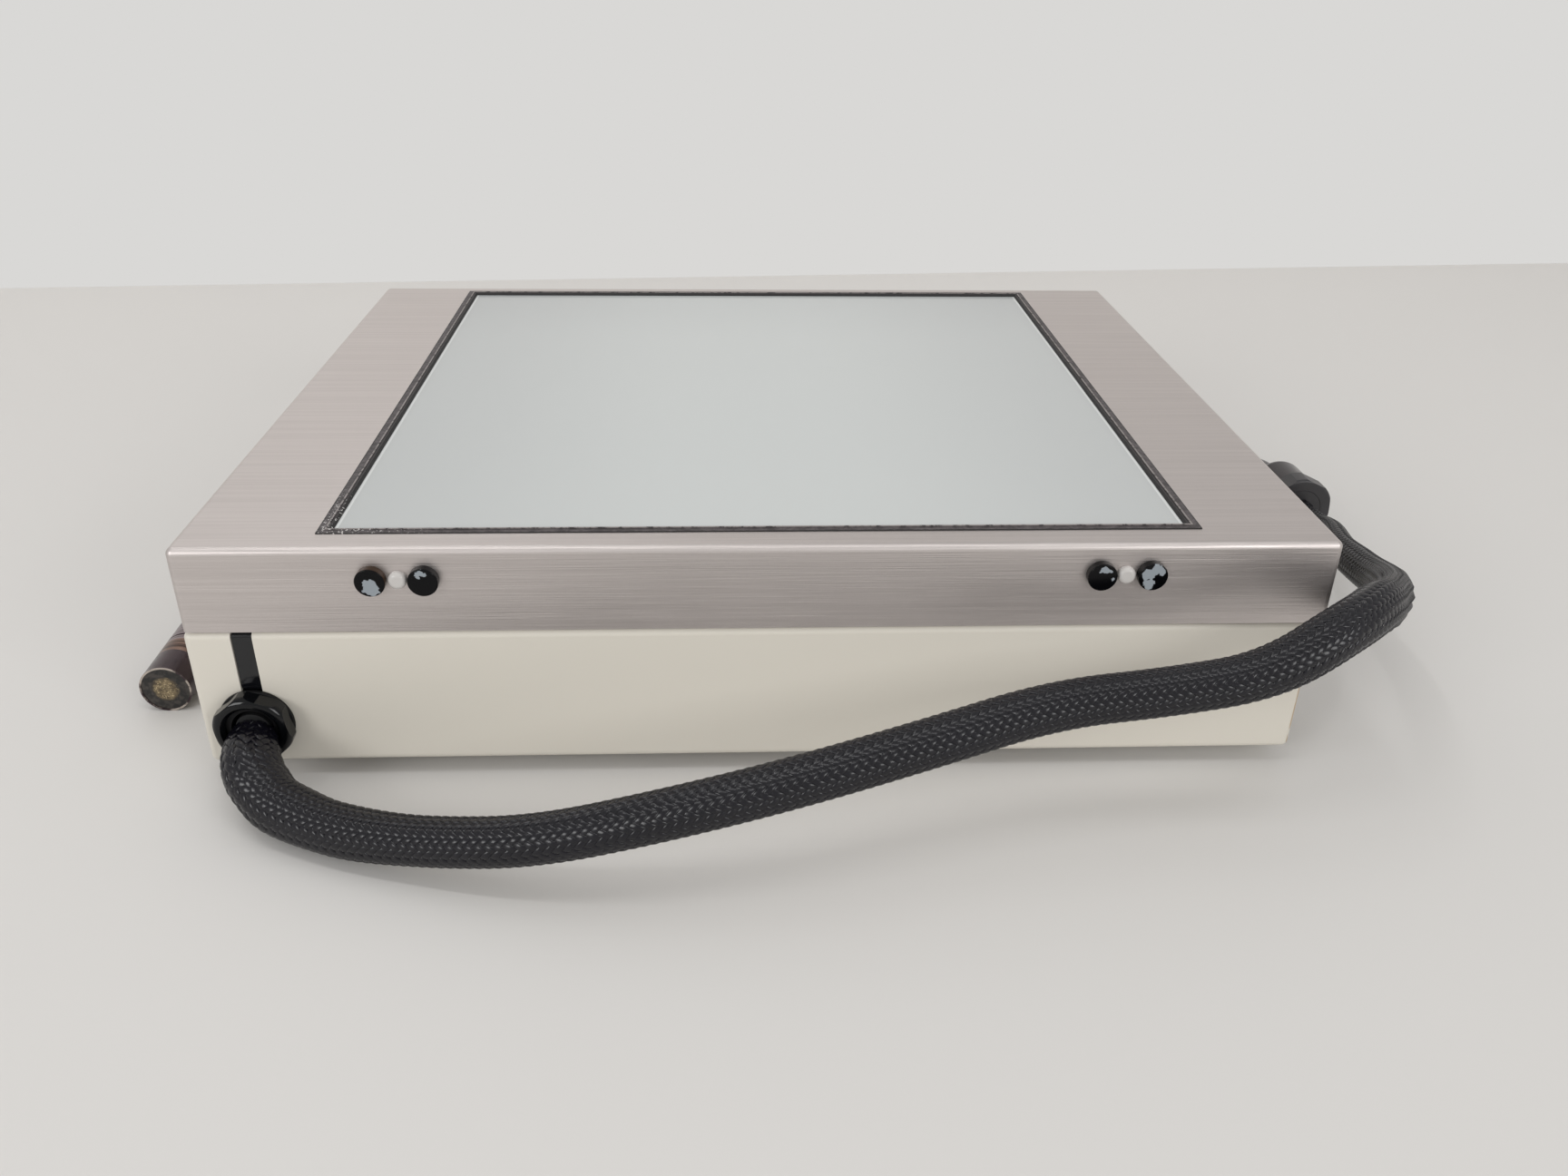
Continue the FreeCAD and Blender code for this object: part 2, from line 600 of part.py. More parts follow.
def clamping_nut(place, flats, corner_radius, length, turn, rounding):
    """Hexagonal nut along +Y from its mouth at place, with a rounded front and a flared mouth."""
    x, mouth_y, z = place
    end_y = mouth_y + length
    turned = rod(corner_radius, place, (x, end_y, z))
    front_rim = [edge for edge in turned.Edges if edge.Closed and edge.CenterOfMass.y < mouth_y + 1]
    nut = hex_prism(flats, place, length, turn).common(turned.makeFillet(rounding, front_rim))
    flare = cone(GLAND_LIP_RADIUS + GLAND_MOUTH_FLARE, GLAND_LIP_RADIUS, place,
                 (x, mouth_y + GLAND_MOUTH_FLARE, z))
    mouth = rod(GLAND_LIP_RADIUS, (x, mouth_y - 1, z), (x, end_y + 1, z))
    thread = rod(GLAND_SPIGOT_RADIUS + THREAD_CLEARANCE,
                 (x, mouth_y + COUPLING_LIP, z), (x, end_y + 1, z))
    return nut.cut(flare).cut(mouth).cut(thread)


def gland_nut():
    mouth_y = GLAND_FLANGE_FRONT - GLAND_FACE_GAP - GLAND_NUT_LENGTH
    return clamping_nut((GLAND_X, mouth_y, GLAND_HEIGHT), GLAND_NUT_FLATS, GLAND_NUT_CORNER_RADIUS,
                        GLAND_NUT_LENGTH, GLAND_NUT_TURN, GLAND_NUT_ROUNDING)


def gland_locknut():
    inside = BASE_FRONT + BASE_SHEET
    nut = hex_prism(LOCKNUT_FLATS, (GLAND_X, inside, GLAND_HEIGHT), LOCKNUT_THICKNESS, 30)
    return nut.cut(rod(GLAND_NECK_RADIUS + THREAD_CLEARANCE, (GLAND_X, inside - 1, GLAND_HEIGHT),
                       (GLAND_X, inside + LOCKNUT_THICKNESS + 1, GLAND_HEIGHT)))


def cord_path(name, points):
    """Straight runs joined by tangent arcs, each arc as large as its two runs allow."""
    points = [V(*point) for point in points]
    edges = []
    length = 0.0
    radii = []
    here = points[0]
    for before, corner, after in zip(points, points[1:], points[2:]):
        run_in = corner - before
        run_out = after - corner
        reach = RUN_SHARE * min(run_in.Length, run_out.Length)
        way_in = run_in * (1 / run_in.Length)
        way_out = run_out * (1 / run_out.Length)
        turn = way_in.getAngle(way_out)
        radius = reach / math.tan(turn / 2)
        radii.append(round(radius))
        arc_start = corner - way_in * reach
        arc_end = corner + way_out * reach
        bisector = way_out - way_in
        bisector = bisector * (1 / bisector.Length)
        middle = corner + bisector * (radius / math.cos(turn / 2) - radius)
        edges.append(Part.LineSegment(here, arc_start).toShape())
        edges.append(Part.Arc(arc_start, middle, arc_end).toShape())
        length += (arc_start - here).Length + radius * turn
        here = arc_end
    edges.append(Part.LineSegment(here, points[-1]).toShape())
    length += (points[-1] - here).Length
    print(name, "length", round(length, 1), "radii", radii)
    return Part.Wire(edges), length


def cord_tube(name, points, radius):
    wire, length = cord_path(name, points)
    start_way = V(*points[1]) - V(*points[0])
    section = Part.Wire(Part.makeCircle(radius, V(*points[0]), start_way))
    tube = wire.makePipeShell([section], True, False)
    print(name, "volume share", round(tube.Volume / (math.pi * radius ** 2 * length), 4))
    return tube


def coupling_face_y():
    return COUPLING_Y + COUPLING_LIP + GLAND_FACE_GAP


def beside(x, y, offsets):
    """Route points given as offsets from a place in plan, with their own height."""
    return [(x + dx, y + dy, z) for dx, dy, z in offsets]


def sleeve_route():
    """Out of the gland, along the front, round the right corner, down to the coupling."""
    from_gland = beside(GLAND_X, SPIGOT_FACE, [
        (0, 0, GLAND_HEIGHT),
        (0, -8.4, GLAND_HEIGHT),
        (1.5, -16.2, 21),
        (5.5, -22.2, 15.5),
        (13, -27.7, 11.5),
        (27.5, -34.2, 10),
        (45, -41.7, 10.5),
        (70, -50.2, 14),
        (103.5, -58.7, 20.5),
        (142, -60.2, 30.5),
    ])
    round_corner = beside(COVER_RIGHT, FRONT, [
        (-191.7, -59.4, 38),
        (-148.2, -47.9, 44),
        (-104.2, -35.9, 51),
        (-65.7, -33.9, 54),
        (-33.2, -34.4, 60.5),
        (-4.7, -22.4, 71),
        (19.3, 0.6, 69),
        (37.8, 31.1, 56),
        (52.8, 63.6, 42),
    ])
    to_coupling = beside(COUPLING_X, coupling_face_y(), [
        (-18.6, -95.5, 34),
        (-12.1, -67, 28.5),
        (-3.1, -42.5, 23.5),
        (0, -21, COUPLING_Z),
        (0, 0, COUPLING_Z),
    ])
    return from_gland + round_corner + to_coupling


def jacket_route():
    """From the coupling round the back of the box to the plug on the left."""
    rest = JACKET_RADIUS + 0.2
    from_coupling = beside(COUPLING_X, coupling_end_y(), [
        (0, 0, COUPLING_Z),
        (0, 13.3, COUPLING_Z),
        (-5.6, 39.3, 8.5),
        (-20.6, 68.3, rest),
    ])
    behind_right = beside(COVER_RIGHT, BACK, [
        (41.4, 15.9, rest),
        (9.4, 35.9, rest),
        (-32.6, 43.9, rest),
        (-92.6, 41.9, rest),
        (-152.6, 43.9, rest),
    ])
    behind_left = beside(COVER_LEFT, BACK, [
        (176.4, 41.4, rest),
        (111.4, 43.9, rest),
        (56.4, 43.9, rest),
        (10.4, 32.9, rest),
        (-20.6, 8.9, rest),
    ])
    to_plug = beside(PLUG_X, plug_back_y(), [
        (-4.6, 172, rest),
        (-9.6, 132, rest),
        (-6.6, 89, rest),
        (-1.6, 52, 8.5),
        (0, 22, PLUG_RADIUS),
        (0, 0, PLUG_RADIUS),
    ])
    return from_coupling + behind_right + behind_left + to_plug


def coupling_end_y():
    return COUPLING_Y + COUPLING_NUT_LENGTH + GLAND_FACE_GAP + COUPLING_BARREL_LENGTH


def coupling_body():
    """Fixed half of the coupling: a spigot inside the nut and a smooth barrel behind it."""
    x, z = COUPLING_X, COUPLING_Z
    barrel_y = COUPLING_Y + COUPLING_NUT_LENGTH + GLAND_FACE_GAP
    end_y = coupling_end_y()
    spigot = rod(GLAND_SPIGOT_RADIUS, (x, coupling_face_y(), z), (x, barrel_y, z))
    barrel = rod(COUPLING_BARREL_RADIUS, (x, barrel_y, z), (x, end_y, z))
    end_rim = [edge for edge in barrel.Edges if edge.Closed and edge.CenterOfMass.y > end_y - 1]
    barrel = barrel.makeFillet(COUPLING_BARREL_RADIUS - JACKET_RADIUS - 0.3, end_rim)
    return spigot.fuse(barrel).removeSplitter()


def coupling_nut():
    return clamping_nut((COUPLING_X, COUPLING_Y, COUPLING_Z), COUPLING_NUT_FLATS,
                        COUPLING_NUT_CORNER_RADIUS, COUPLING_NUT_LENGTH, COUPLING_NUT_TURN,
                        COUPLING_NUT_ROUNDING)


def plug_station(*lengths):
    return PLUG_FACE_Y + sum(lengths)


def plug_back_y():
    return plug_station(PLUG_TIP_LENGTH, BAND_LENGTH, SPACER_LENGTH, PLUG_GROOVE_LENGTH,
                        PLUG_BARREL_LENGTH, BOOT_LENGTH)


def plug_rod(radius, y0, y1):
    return rod(radius, (PLUG_X, y0, PLUG_RADIUS), (PLUG_X, y1, PLUG_RADIUS))


def plug_tip():
    """Polished end of the guide: a thin-walled metal cup that holds the fibres' face."""
    y1 = plug_station(PLUG_TIP_LENGTH)
    cup = plug_rod(PLUG_RADIUS - PLUG_RIM, PLUG_FACE_Y - 1, PLUG_FACE_Y + PLUG_FACE_DEPTH)
    return plug_rod(PLUG_RADIUS, PLUG_FACE_Y, y1).cut(cup)


def plug_band():
    y0 = plug_station(PLUG_TIP_LENGTH)
    return plug_rod(PLUG_RADIUS, y0, y0 + BAND_LENGTH)


def plug_spacer():
    y0 = plug_station(PLUG_TIP_LENGTH, BAND_LENGTH)
    return plug_rod(PLUG_RADIUS, y0, y0 + SPACER_LENGTH)


def plug_barrel():
    y0 = plug_station(PLUG_TIP_LENGTH, BAND_LENGTH, SPACER_LENGTH)
    y1 = y0 + PLUG_GROOVE_LENGTH
    groove = plug_rod(PLUG_RADIUS - PLUG_GROOVE_DEPTH, y0, y1)
    return groove.fuse(plug_rod(PLUG_RADIUS, y1, y1 + PLUG_BARREL_LENGTH)).removeSplitter()


def plug_boot():
    y1 = plug_back_y()
    y0 = y1 - BOOT_LENGTH
    return cone(BOOT_FRONT_RADIUS, BOOT_BACK_RADIUS,
                (PLUG_X, y0, PLUG_RADIUS), (PLUG_X, y1, PLUG_RADIUS))


def fibre_epoxy():
    y0 = PLUG_FACE_Y + PLUG_FACE_RECESS
    y1 = PLUG_FACE_Y + PLUG_FACE_DEPTH
    core = plug_rod(FIBRE_CORE_RADIUS, y0 - 1, y1 + 1)
    return plug_rod(PLUG_RADIUS - PLUG_RIM, y0, y1).cut(core)


def fibre_core():
    return plug_rod(FIBRE_CORE_RADIUS, PLUG_FACE_Y + PLUG_FACE_RECESS, PLUG_FACE_Y + PLUG_FACE_DEPTH)


def bar_x(side, offset):
    """X at a distance from the base's outer side wall: side is -1 left, 1 right."""
    return BASE_LEFT + offset if side < 0 else BASE_RIGHT - offset


def bar_block(side, near, far, y0, y1, z0, z1):
    low_x, high_x = sorted((bar_x(side, near), bar_x(side, far)))
    return block(low_x, high_x, y0, y1, z0, z1)


def light_bar(side):
    """Machined bar: a slit for the fibres' ends opens into the groove of the rod lens."""
    bar = bar_block(side, BAR_INSET, BAR_INSET + BAR_WIDTH, BAR_FRONT_Y, BAR_BACK_Y,
                    BAR_BOTTOM, BAR_BOTTOM + BAR_HEIGHT)
    lens_x = bar_x(side, BAR_INSET + BAR_WIDTH)
    groove = rod(LENS_RADIUS + LENS_CLEARANCE, (lens_x, BAR_FRONT_Y - 1, LENS_Z),
                 (lens_x, BAR_BACK_Y + 1, LENS_Z))
    slit_end = BAR_INSET + BAR_WIDTH - LENS_RADIUS - LENS_CLEARANCE
    slit = bar_block(side, slit_end - FIBRE_LINE_DEPTH, slit_end + 2,
                     BAR_FRONT_Y - 1, BAR_BACK_Y + 1,
                     LENS_Z - FIBRE_LINE_HEIGHT / 2, LENS_Z + FIBRE_LINE_HEIGHT / 2)
    return bar.cut(groove).cut(slit)


def fibre_line(side):
    slit_end = BAR_INSET + BAR_WIDTH - LENS_RADIUS - LENS_CLEARANCE
    return bar_block(side, slit_end - FIBRE_LINE_DEPTH, slit_end - LENS_CLEARANCE,
                     BAR_FRONT_Y, BAR_BACK_Y,
                     LENS_Z - FIBRE_LINE_HEIGHT / 2, LENS_Z + FIBRE_LINE_HEIGHT / 2)


def rod_lens(side):
    x = bar_x(side, BAR_INSET + BAR_WIDTH)
    return rod(LENS_RADIUS, (x, BAR_FRONT_Y, LENS_Z), (x, BAR_BACK_Y, LENS_Z))


def bar_end_plates():
    """Plates on both ends of each bar: they keep the rod lens and the fibres in."""
    plates = []
    for side in (-1, 1):
        for y, way in ((BAR_FRONT_Y, -1), (BAR_BACK_Y, 1)):
            low_y, high_y = sorted((y, y + way * BAR_PLATE))
            plate = bar_block(side, BAR_INSET, BAR_INSET + BAR_WIDTH + LENS_RADIUS,
                              low_y, high_y, BAR_BOTTOM, BAR_BOTTOM + BAR_HEIGHT)
            if way < 0:
                plate = plate.cut(rod(BRANCH_RADIUS + HOLE_CLEARANCE,
                                      (branch_entry_x(side), low_y - 1, branch_entry_z()),
                                      (branch_entry_x(side), high_y + 1, branch_entry_z())))
            plates.append(plate)
    return plates


def branch_entry_x(side):
    return bar_x(side, BAR_INSET + BAR_WIDTH / 2)


def branch_entry_z():
    return BAR_BOTTOM + BRANCH_RADIUS + 2


def bracket_places():
    return [(side, y) for side in (-1, 1)
            for y in (BAR_FRONT_Y + BRACKET_SETBACK, BAR_BACK_Y - BRACKET_SETBACK)]


def bar_brackets():
    """Z-brackets from the floor to the underside of each bar."""
    brackets = []
    web_near = BAR_INSET + BRACKET_LEG / 2
    for side, y in bracket_places():
        y0 = y - BRACKET_WIDTH / 2
        y1 = y + BRACKET_WIDTH / 2
        top = bar_block(side, web_near - BRACKET_SHEET, web_near + BRACKET_LEG * 0.75, y0, y1,
                        BAR_BOTTOM - BRACKET_SHEET, BAR_BOTTOM)
        web = bar_block(side, web_near - BRACKET_SHEET, web_near, y0, y1, FLOOR, BAR_BOTTOM)
        foot = bar_block(side, web_near - BRACKET_LEG, web_near, y0, y1,
                         FLOOR, FLOOR + BRACKET_SHEET)
        brackets.append(top.fuse([web, foot]).removeSplitter())
    return brackets


def bracket_screws():
    screws = []
    seat = FLOOR + BRACKET_SHEET
    for side, y in bracket_places():
        x = bar_x(side, BAR_INSET + BRACKET_LEG / 2 - BRACKET_LEG * 0.55)
        head = rod(SMALL_HEAD_RADIUS, (x, y, seat), (x, y, seat + SMALL_HEAD_HEIGHT))
        rims = [edge for edge in head.Edges if edge.Closed and edge.CenterOfMass.z > seat + 1]
        screws.append(head.makeChamfer(SMALL_HEAD_HEIGHT / 3, rims))
    return screws


def reflector_half_width():
    return BASE_WIDTH / 2 - BAR_INSET - BAR_WIDTH - LENS_RADIUS - REFLECTOR_SIDE_GAP


def reflector_profile(lift, close_height):
    """Closed face in XZ: from lip to lip over the ridge, shut at close_height above it."""
    half = reflector_half_width()
    slope = half - REFLECTOR_LIP
    middle_x = slope / 2
    middle_z = (REFLECTOR_EDGE_HEIGHT + REFLECTOR_RIDGE_HEIGHT) / 2 - REFLECTOR_SAG
    y = BASE_FRONT + REFLECTOR_END_GAP
    x = BASE_CENTRE_X

    def at(dx, z):
        return V(x + dx, y, z + lift)

    lip_left = at(-half, REFLECTOR_EDGE_HEIGHT)
    foot_left = at(-slope, REFLECTOR_EDGE_HEIGHT)
    ridge = at(0, REFLECTOR_RIDGE_HEIGHT)
    foot_right = at(slope, REFLECTOR_EDGE_HEIGHT)
    lip_right = at(half, REFLECTOR_EDGE_HEIGHT)
    top_right = V(x + half, y, close_height)
    top_left = V(x - half, y, close_height)
    edges = [
        Part.LineSegment(lip_left, foot_left).toShape(),
        Part.Arc(foot_left, at(-middle_x, middle_z), ridge).toShape(),
        Part.Arc(ridge, at(middle_x, middle_z), foot_right).toShape(),
        Part.LineSegment(foot_right, lip_right).toShape(),
        Part.LineSegment(lip_right, top_right).toShape(),
        Part.LineSegment(top_right, top_left).toShape(),
        Part.LineSegment(top_left, lip_left).toShape(),
    ]
    return Part.Face(Part.Wire(edges))


def reflector_panel():
    """White sheet: two concave slopes that meet in a ridge, and a wall at each end."""
    depth = BASE_DEPTH - 2 * REFLECTOR_END_GAP
    whole = reflector_profile(0, REFLECTOR_WALL_TOP).extrude(V(0, depth, 0))
    hollow = reflector_profile(REFLECTOR_SHEET, REFLECTOR_WALL_TOP + 1)
    hollow = hollow.extrude(V(0, depth - 2 * REFLECTOR_SHEET, 0))
    hollow.translate(V(0, REFLECTOR_SHEET, 0))
    panel = whole.cut(hollow)
    for x, y in standoff_places():
        panel = panel.cut(rod(SMALL_SCREW_RADIUS + SCREW_CLEARANCE,
                              (x, y, REFLECTOR_EDGE_HEIGHT - 1), (x, y, REFLECTOR_EDGE_HEIGHT + 3)))
    return panel


def standoff_places():
    reach = reflector_half_width() - REFLECTOR_LIP / 2
    front = BASE_FRONT + STANDOFF_FRONT
    back = BASE_BACK - STANDOFF_BACK
    return [(BASE_CENTRE_X + side * reach, y)
            for side in (-1, 1) for y in (front, (front + back) / 2, back)]


def reflector_standoffs():
    return [rod(STANDOFF_RADIUS, (x, y, FLOOR), (x, y, REFLECTOR_EDGE_HEIGHT))
            .cut(rod(SMALL_SCREW_RADIUS + THREAD_CLEARANCE, (x, y, REFLECTOR_EDGE_HEIGHT - SMALL_SCREW_LENGTH),
                     (x, y, REFLECTOR_EDGE_HEIGHT + 1)))
            for x, y in standoff_places()]


def reflector_screws():
    seat = REFLECTOR_EDGE_HEIGHT + REFLECTOR_SHEET
    return [pan_screw(SMALL_SCREW_RADIUS, SMALL_HEAD_RADIUS, SMALL_HEAD_HEIGHT,
                      (x, y, seat), (x, y, seat - SMALL_SCREW_LENGTH)) for x, y in standoff_places()]


def splitter_front():
    return BASE_FRONT + SPLITTER_SETBACK


def splitter_block():
    """Block on the floor where the bundle divides into the two branches."""
    x0 = GLAND_X - SPLITTER_WIDTH / 2
    x1 = GLAND_X + SPLITTER_WIDTH / 2
    y0 = splitter_front()
    y1 = y0 + SPLITTER_LENGTH
    body = block(x0, x1, y0, y1, FLOOR, SPLITTER_TOP)
    top_edges = [edge for edge in body.Edges if abs(edge.CenterOfMass.z - SPLITTER_TOP) < 1e-6]
    body = body.makeFillet(2, top_edges)
    foot = block(x1, x1 + SPLITTER_FOOT, y0, y1, FLOOR, FLOOR + SPLITTER_FOOT_THICKNESS)
    return body.fuse(foot).removeSplitter()


def splitter_screws():
    seat = FLOOR + SPLITTER_FOOT_THICKNESS
    x = GLAND_X + SPLITTER_WIDTH / 2 + SPLITTER_FOOT / 2
    screws = []
    for y in (splitter_front() + 4, splitter_front() + SPLITTER_LENGTH - 4):
        head = rod(SMALL_HEAD_RADIUS, (x, y, seat), (x, y, seat + SMALL_HEAD_HEIGHT))
        rims = [edge for edge in head.Edges if edge.Closed and edge.CenterOfMass.z > seat + 1]
        screws.append(head.makeChamfer(SMALL_HEAD_HEIGHT / 3, rims))
    return screws


def bundle_trunk():
    """Fibre bundle from the end of the sleeve, through the gland, to the splitter."""
    return rod(BUNDLE_RADIUS, (GLAND_X, SPIGOT_FACE, GLAND_HEIGHT),
               (GLAND_X, splitter_front(), GLAND_HEIGHT))


def branch_left():
    x = branch_entry_x(-1)
    z = branch_entry_z()
    return rod(BRANCH_RADIUS, (x, splitter_front() + SPLITTER_LENGTH, z), (x, BAR_FRONT_Y, z))


def branch_run(share):
    """X at a share of the way from the splitter's side to the right-hand bar."""
    start_x = GLAND_X + SPLITTER_WIDTH / 2
    return start_x + share * (branch_entry_x(1) - start_x)


def branch_right_route():
    """Out of the splitter's side, under the reflector, up into the right-hand bar."""
    start_y = splitter_front() + SPLITTER_LENGTH / 2
    run_y = BASE_FRONT + BRANCH_SETBACK
    entry_x = branch_entry_x(1)
    entry_z = branch_entry_z()
    step_y = BAR_FRONT_Y - run_y
    return [
        (branch_run(0), start_y, BRANCH_HEIGHT),
        (branch_run(0.11), start_y, BRANCH_HEIGHT),
        (branch_run(0.24), run_y + 0.25 * step_y, BRANCH_HEIGHT),
        (branch_run(0.39), run_y + 0.02 * step_y, BRANCH_HEIGHT),
        (branch_run(0.57), run_y, BRANCH_HEIGHT),
        (branch_run(0.75), run_y + 0.02 * step_y, BRANCH_HEIGHT),
        (branch_run(0.88), run_y, BRANCH_HEIGHT + 0.07 * entry_z),
        (branch_run(0.973), run_y + 0.15 * step_y, BRANCH_HEIGHT + 0.4 * (entry_z - BRANCH_HEIGHT)),
        (entry_x, BAR_FRONT_Y - BRANCH_STRAIGHT, entry_z),
        (entry_x, BAR_FRONT_Y, entry_z),
    ]


def branch_clip_places():
    y = BASE_FRONT + BRANCH_SETBACK + BRANCH_RADIUS / 8
    return [(branch_run(0.48), y), (branch_run(0.66), y)]


def branch_clips():
    """Sheet saddles over the long branch, each with one foot on the floor."""
    clips = []
    inner = BRANCH_RADIUS + 0.6
    for x, y in branch_clip_places():
        x0 = x - BRANCH_CLIP_WIDTH / 2
        x1 = x + BRANCH_CLIP_WIDTH / 2
        top = BRANCH_HEIGHT + inner
        outer = block(x0, x1, y - inner - BRANCH_CLIP_SHEET, y + inner + BRANCH_CLIP_SHEET,
                      FLOOR, top + BRANCH_CLIP_SHEET)
        hollow = block(x0 - 1, x1 + 1, y - inner, y + inner, FLOOR - 1, top)
        foot = block(x0, x1, y + inner, y + inner + CLIP_LEG, FLOOR, FLOOR + BRANCH_CLIP_SHEET)
        clips.append(outer.cut(hollow).fuse(foot).removeSplitter())
    return clips


def branch_clip_screws():
    screws = []
    seat = FLOOR + BRANCH_CLIP_SHEET
    for x, y in branch_clip_places():
        screw_y = y + BRANCH_RADIUS + 0.6 + CLIP_LEG * 0.6
        head = rod(SMALL_HEAD_RADIUS, (x, screw_y, seat), (x, screw_y, seat + SMALL_HEAD_HEIGHT))
        rims = [edge for edge in head.Edges if edge.Closed and edge.CenterOfMass.z > seat + 1]
        screws.append(head.makeChamfer(SMALL_HEAD_HEIGHT / 3, rims))
    return screws


save("top_cover", top_cover())
save("window_ledge", window_ledge())
save("window_glass", window_glass())
save("window_seal", window_seal())
save("diffuser_sheet", diffuser_sheet())
save("diffuser_clips", diffuser_clips())
save("clip_studs", clip_studs())
save("clip_nuts", clip_nuts())
save("front_discs", front_discs())
save("front_bumpers", front_bumpers())

save("base_tray", base_tray())
save("corner_posts", corner_posts())
save("post_screws", post_screws())
save("rubber_feet", rubber_feet())
save("foot_screws", foot_screws())
save("foot_nuts", foot_nuts())

save("slot_strip", slot_strip())
save("gland_washer", gland_washer())
save("gland_body", gland_body())
save("gland_nut", gland_nut())
save("gland_locknut", gland_locknut())

for side, word in ((-1, "left"), (1, "right")):
    save("light_bar_" + word, light_bar(side))
    save("fibre_line_" + word, fibre_line(side))
    save("rod_lens_" + word, rod_lens(side))
save("bar_end_plates", bar_end_plates())
save("bar_brackets", bar_brackets())
save("bracket_screws", bracket_screws())
save("reflector_panel", reflector_panel())
save("reflector_standoffs", reflector_standoffs())
save("reflector_screws", reflector_screws())
save("splitter_block", splitter_block())
save("splitter_screws", splitter_screws())
save("bundle_trunk", bundle_trunk())
save("branch_left", branch_left())
save("branch_right", cord_tube("branch_right", branch_right_route(), BRANCH_RADIUS))
save("branch_clips", branch_clips())
save("branch_clip_screws", branch_clip_screws())

save("guide_sleeve", cord_tube("guide_sleeve", sleeve_route(), SLEEVE_RADIUS))
save("coupling_nut", coupling_nut())
save("coupling_body", coupling_body())
save("guide_jacket", cord_tube("guide_jacket", jacket_route(), JACKET_RADIUS))
save("plug_boot", plug_boot())
save("plug_barrel", plug_barrel())
save("plug_spacer", plug_spacer())
save("plug_band", plug_band())
save("plug_tip", plug_tip())
save("fibre_epoxy", fibre_epoxy())
save("fibre_core", fibre_core())
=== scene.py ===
import bpy
import math
from collections import namedtuple
from mathutils import Matrix, Vector


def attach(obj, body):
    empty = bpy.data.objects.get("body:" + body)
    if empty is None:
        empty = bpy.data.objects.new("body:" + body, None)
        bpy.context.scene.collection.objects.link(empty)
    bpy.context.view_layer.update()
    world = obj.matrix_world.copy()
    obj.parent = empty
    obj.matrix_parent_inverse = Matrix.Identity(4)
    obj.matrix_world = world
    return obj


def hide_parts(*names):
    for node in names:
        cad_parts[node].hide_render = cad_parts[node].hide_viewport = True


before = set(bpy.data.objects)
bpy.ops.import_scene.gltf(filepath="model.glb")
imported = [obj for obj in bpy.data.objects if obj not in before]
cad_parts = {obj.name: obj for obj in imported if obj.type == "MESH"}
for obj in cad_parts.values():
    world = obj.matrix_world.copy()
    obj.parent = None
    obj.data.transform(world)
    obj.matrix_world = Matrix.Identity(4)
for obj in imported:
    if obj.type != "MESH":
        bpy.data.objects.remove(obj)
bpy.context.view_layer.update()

# Camera. It stands at the middle of the front, a forearm above the bench, and looks down at
# the window. Focal length and place come from the box's edges.
MM = 0.001
LENS_MM = 29.147
SENSOR_MM = 36.0
CAMERA_PLACE = Vector((-13.75, -538.03, 280.39)) * MM
CAMERA_RIGHT = Vector((0.99886, -0.04507, 0.01541))
CAMERA_AHEAD = Vector((0.04698, 0.87886, -0.47476))

camera_data = bpy.data.cameras.new("camera")
camera_data.lens = LENS_MM
camera_data.sensor_width = SENSOR_MM
camera_data.sensor_fit = "HORIZONTAL"
camera_data.clip_start = 0.01
camera_data.clip_end = 20.0
camera = bpy.data.objects.new("camera", camera_data)
camera_up = CAMERA_RIGHT.cross(CAMERA_AHEAD).normalized()
camera_axes = Matrix((CAMERA_RIGHT, camera_up, -CAMERA_AHEAD)).transposed()
camera.matrix_world = Matrix.Translation(CAMERA_PLACE) @ camera_axes.to_4x4()
bpy.context.scene.collection.objects.link(camera)
bpy.context.scene.camera = camera
bpy.context.scene.view_settings.view_transform = "Standard"


# Routes of the light guide's two lengths. Each is one smooth line through the middle of its
# tube: the sleeve from the gland to the coupling, the jacket from there to the plug.
SLEEVE_ROUTE_MM = [
    (-178, -164.3, 24.3),
    (-178, -172.7, 24.3),
    (-176.5, -180.5, 21),
    (-172.5, -186.5, 15.5),
    (-165, -192, 11.5),
    (-150.5, -198.5, 10),
    (-133, -206, 10.5),
    (-108, -214.5, 14),
    (-74.5, -223, 20.5),
    (-36, -224.5, 30.5),
    (6.5, -218.5, 38),
    (50, -207, 44),
    (94, -195, 51),
    (132.5, -193, 54),
    (165, -193.5, 60.5),
    (193.5, -181.5, 71),
    (217.5, -158.5, 69),
    (236, -128, 56),
    (251, -95.5, 42),
    (257, -62.5, 34),
    (263.5, -34, 28.5),
    (272.5, -9.5, 23.5),
    (275.6, 12, 16),
    (275.6, 33, 16),
]
JACKET_ROUTE_MM = [
    (275.6, 66.2, 16),
    (275.6, 79.5, 16),
    (270, 105.5, 8.5),
    (255, 134.5, 6.7),
    (239.6, 178, 6.7),
    (207.6, 198, 6.7),
    (165.6, 206, 6.7),
    (105.6, 204, 6.7),
    (45.6, 206, 6.7),
    (-20.6, 203.5, 6.7),
    (-85.6, 206, 6.7),
    (-140.6, 206, 6.7),
    (-186.6, 195, 6.7),
    (-217.6, 171, 6.7),
    (-234, 138, 6.7),
    (-239, 98, 6.7),
    (-236, 55, 6.7),
    (-231, 18, 8.5),
    (-229.4, -12, 9.75),
    (-229.4, -34, 9.75),
]
CURVE_ORDER = 3
CURVE_STEPS = 24
SHORTEST_STEP = 1e-9


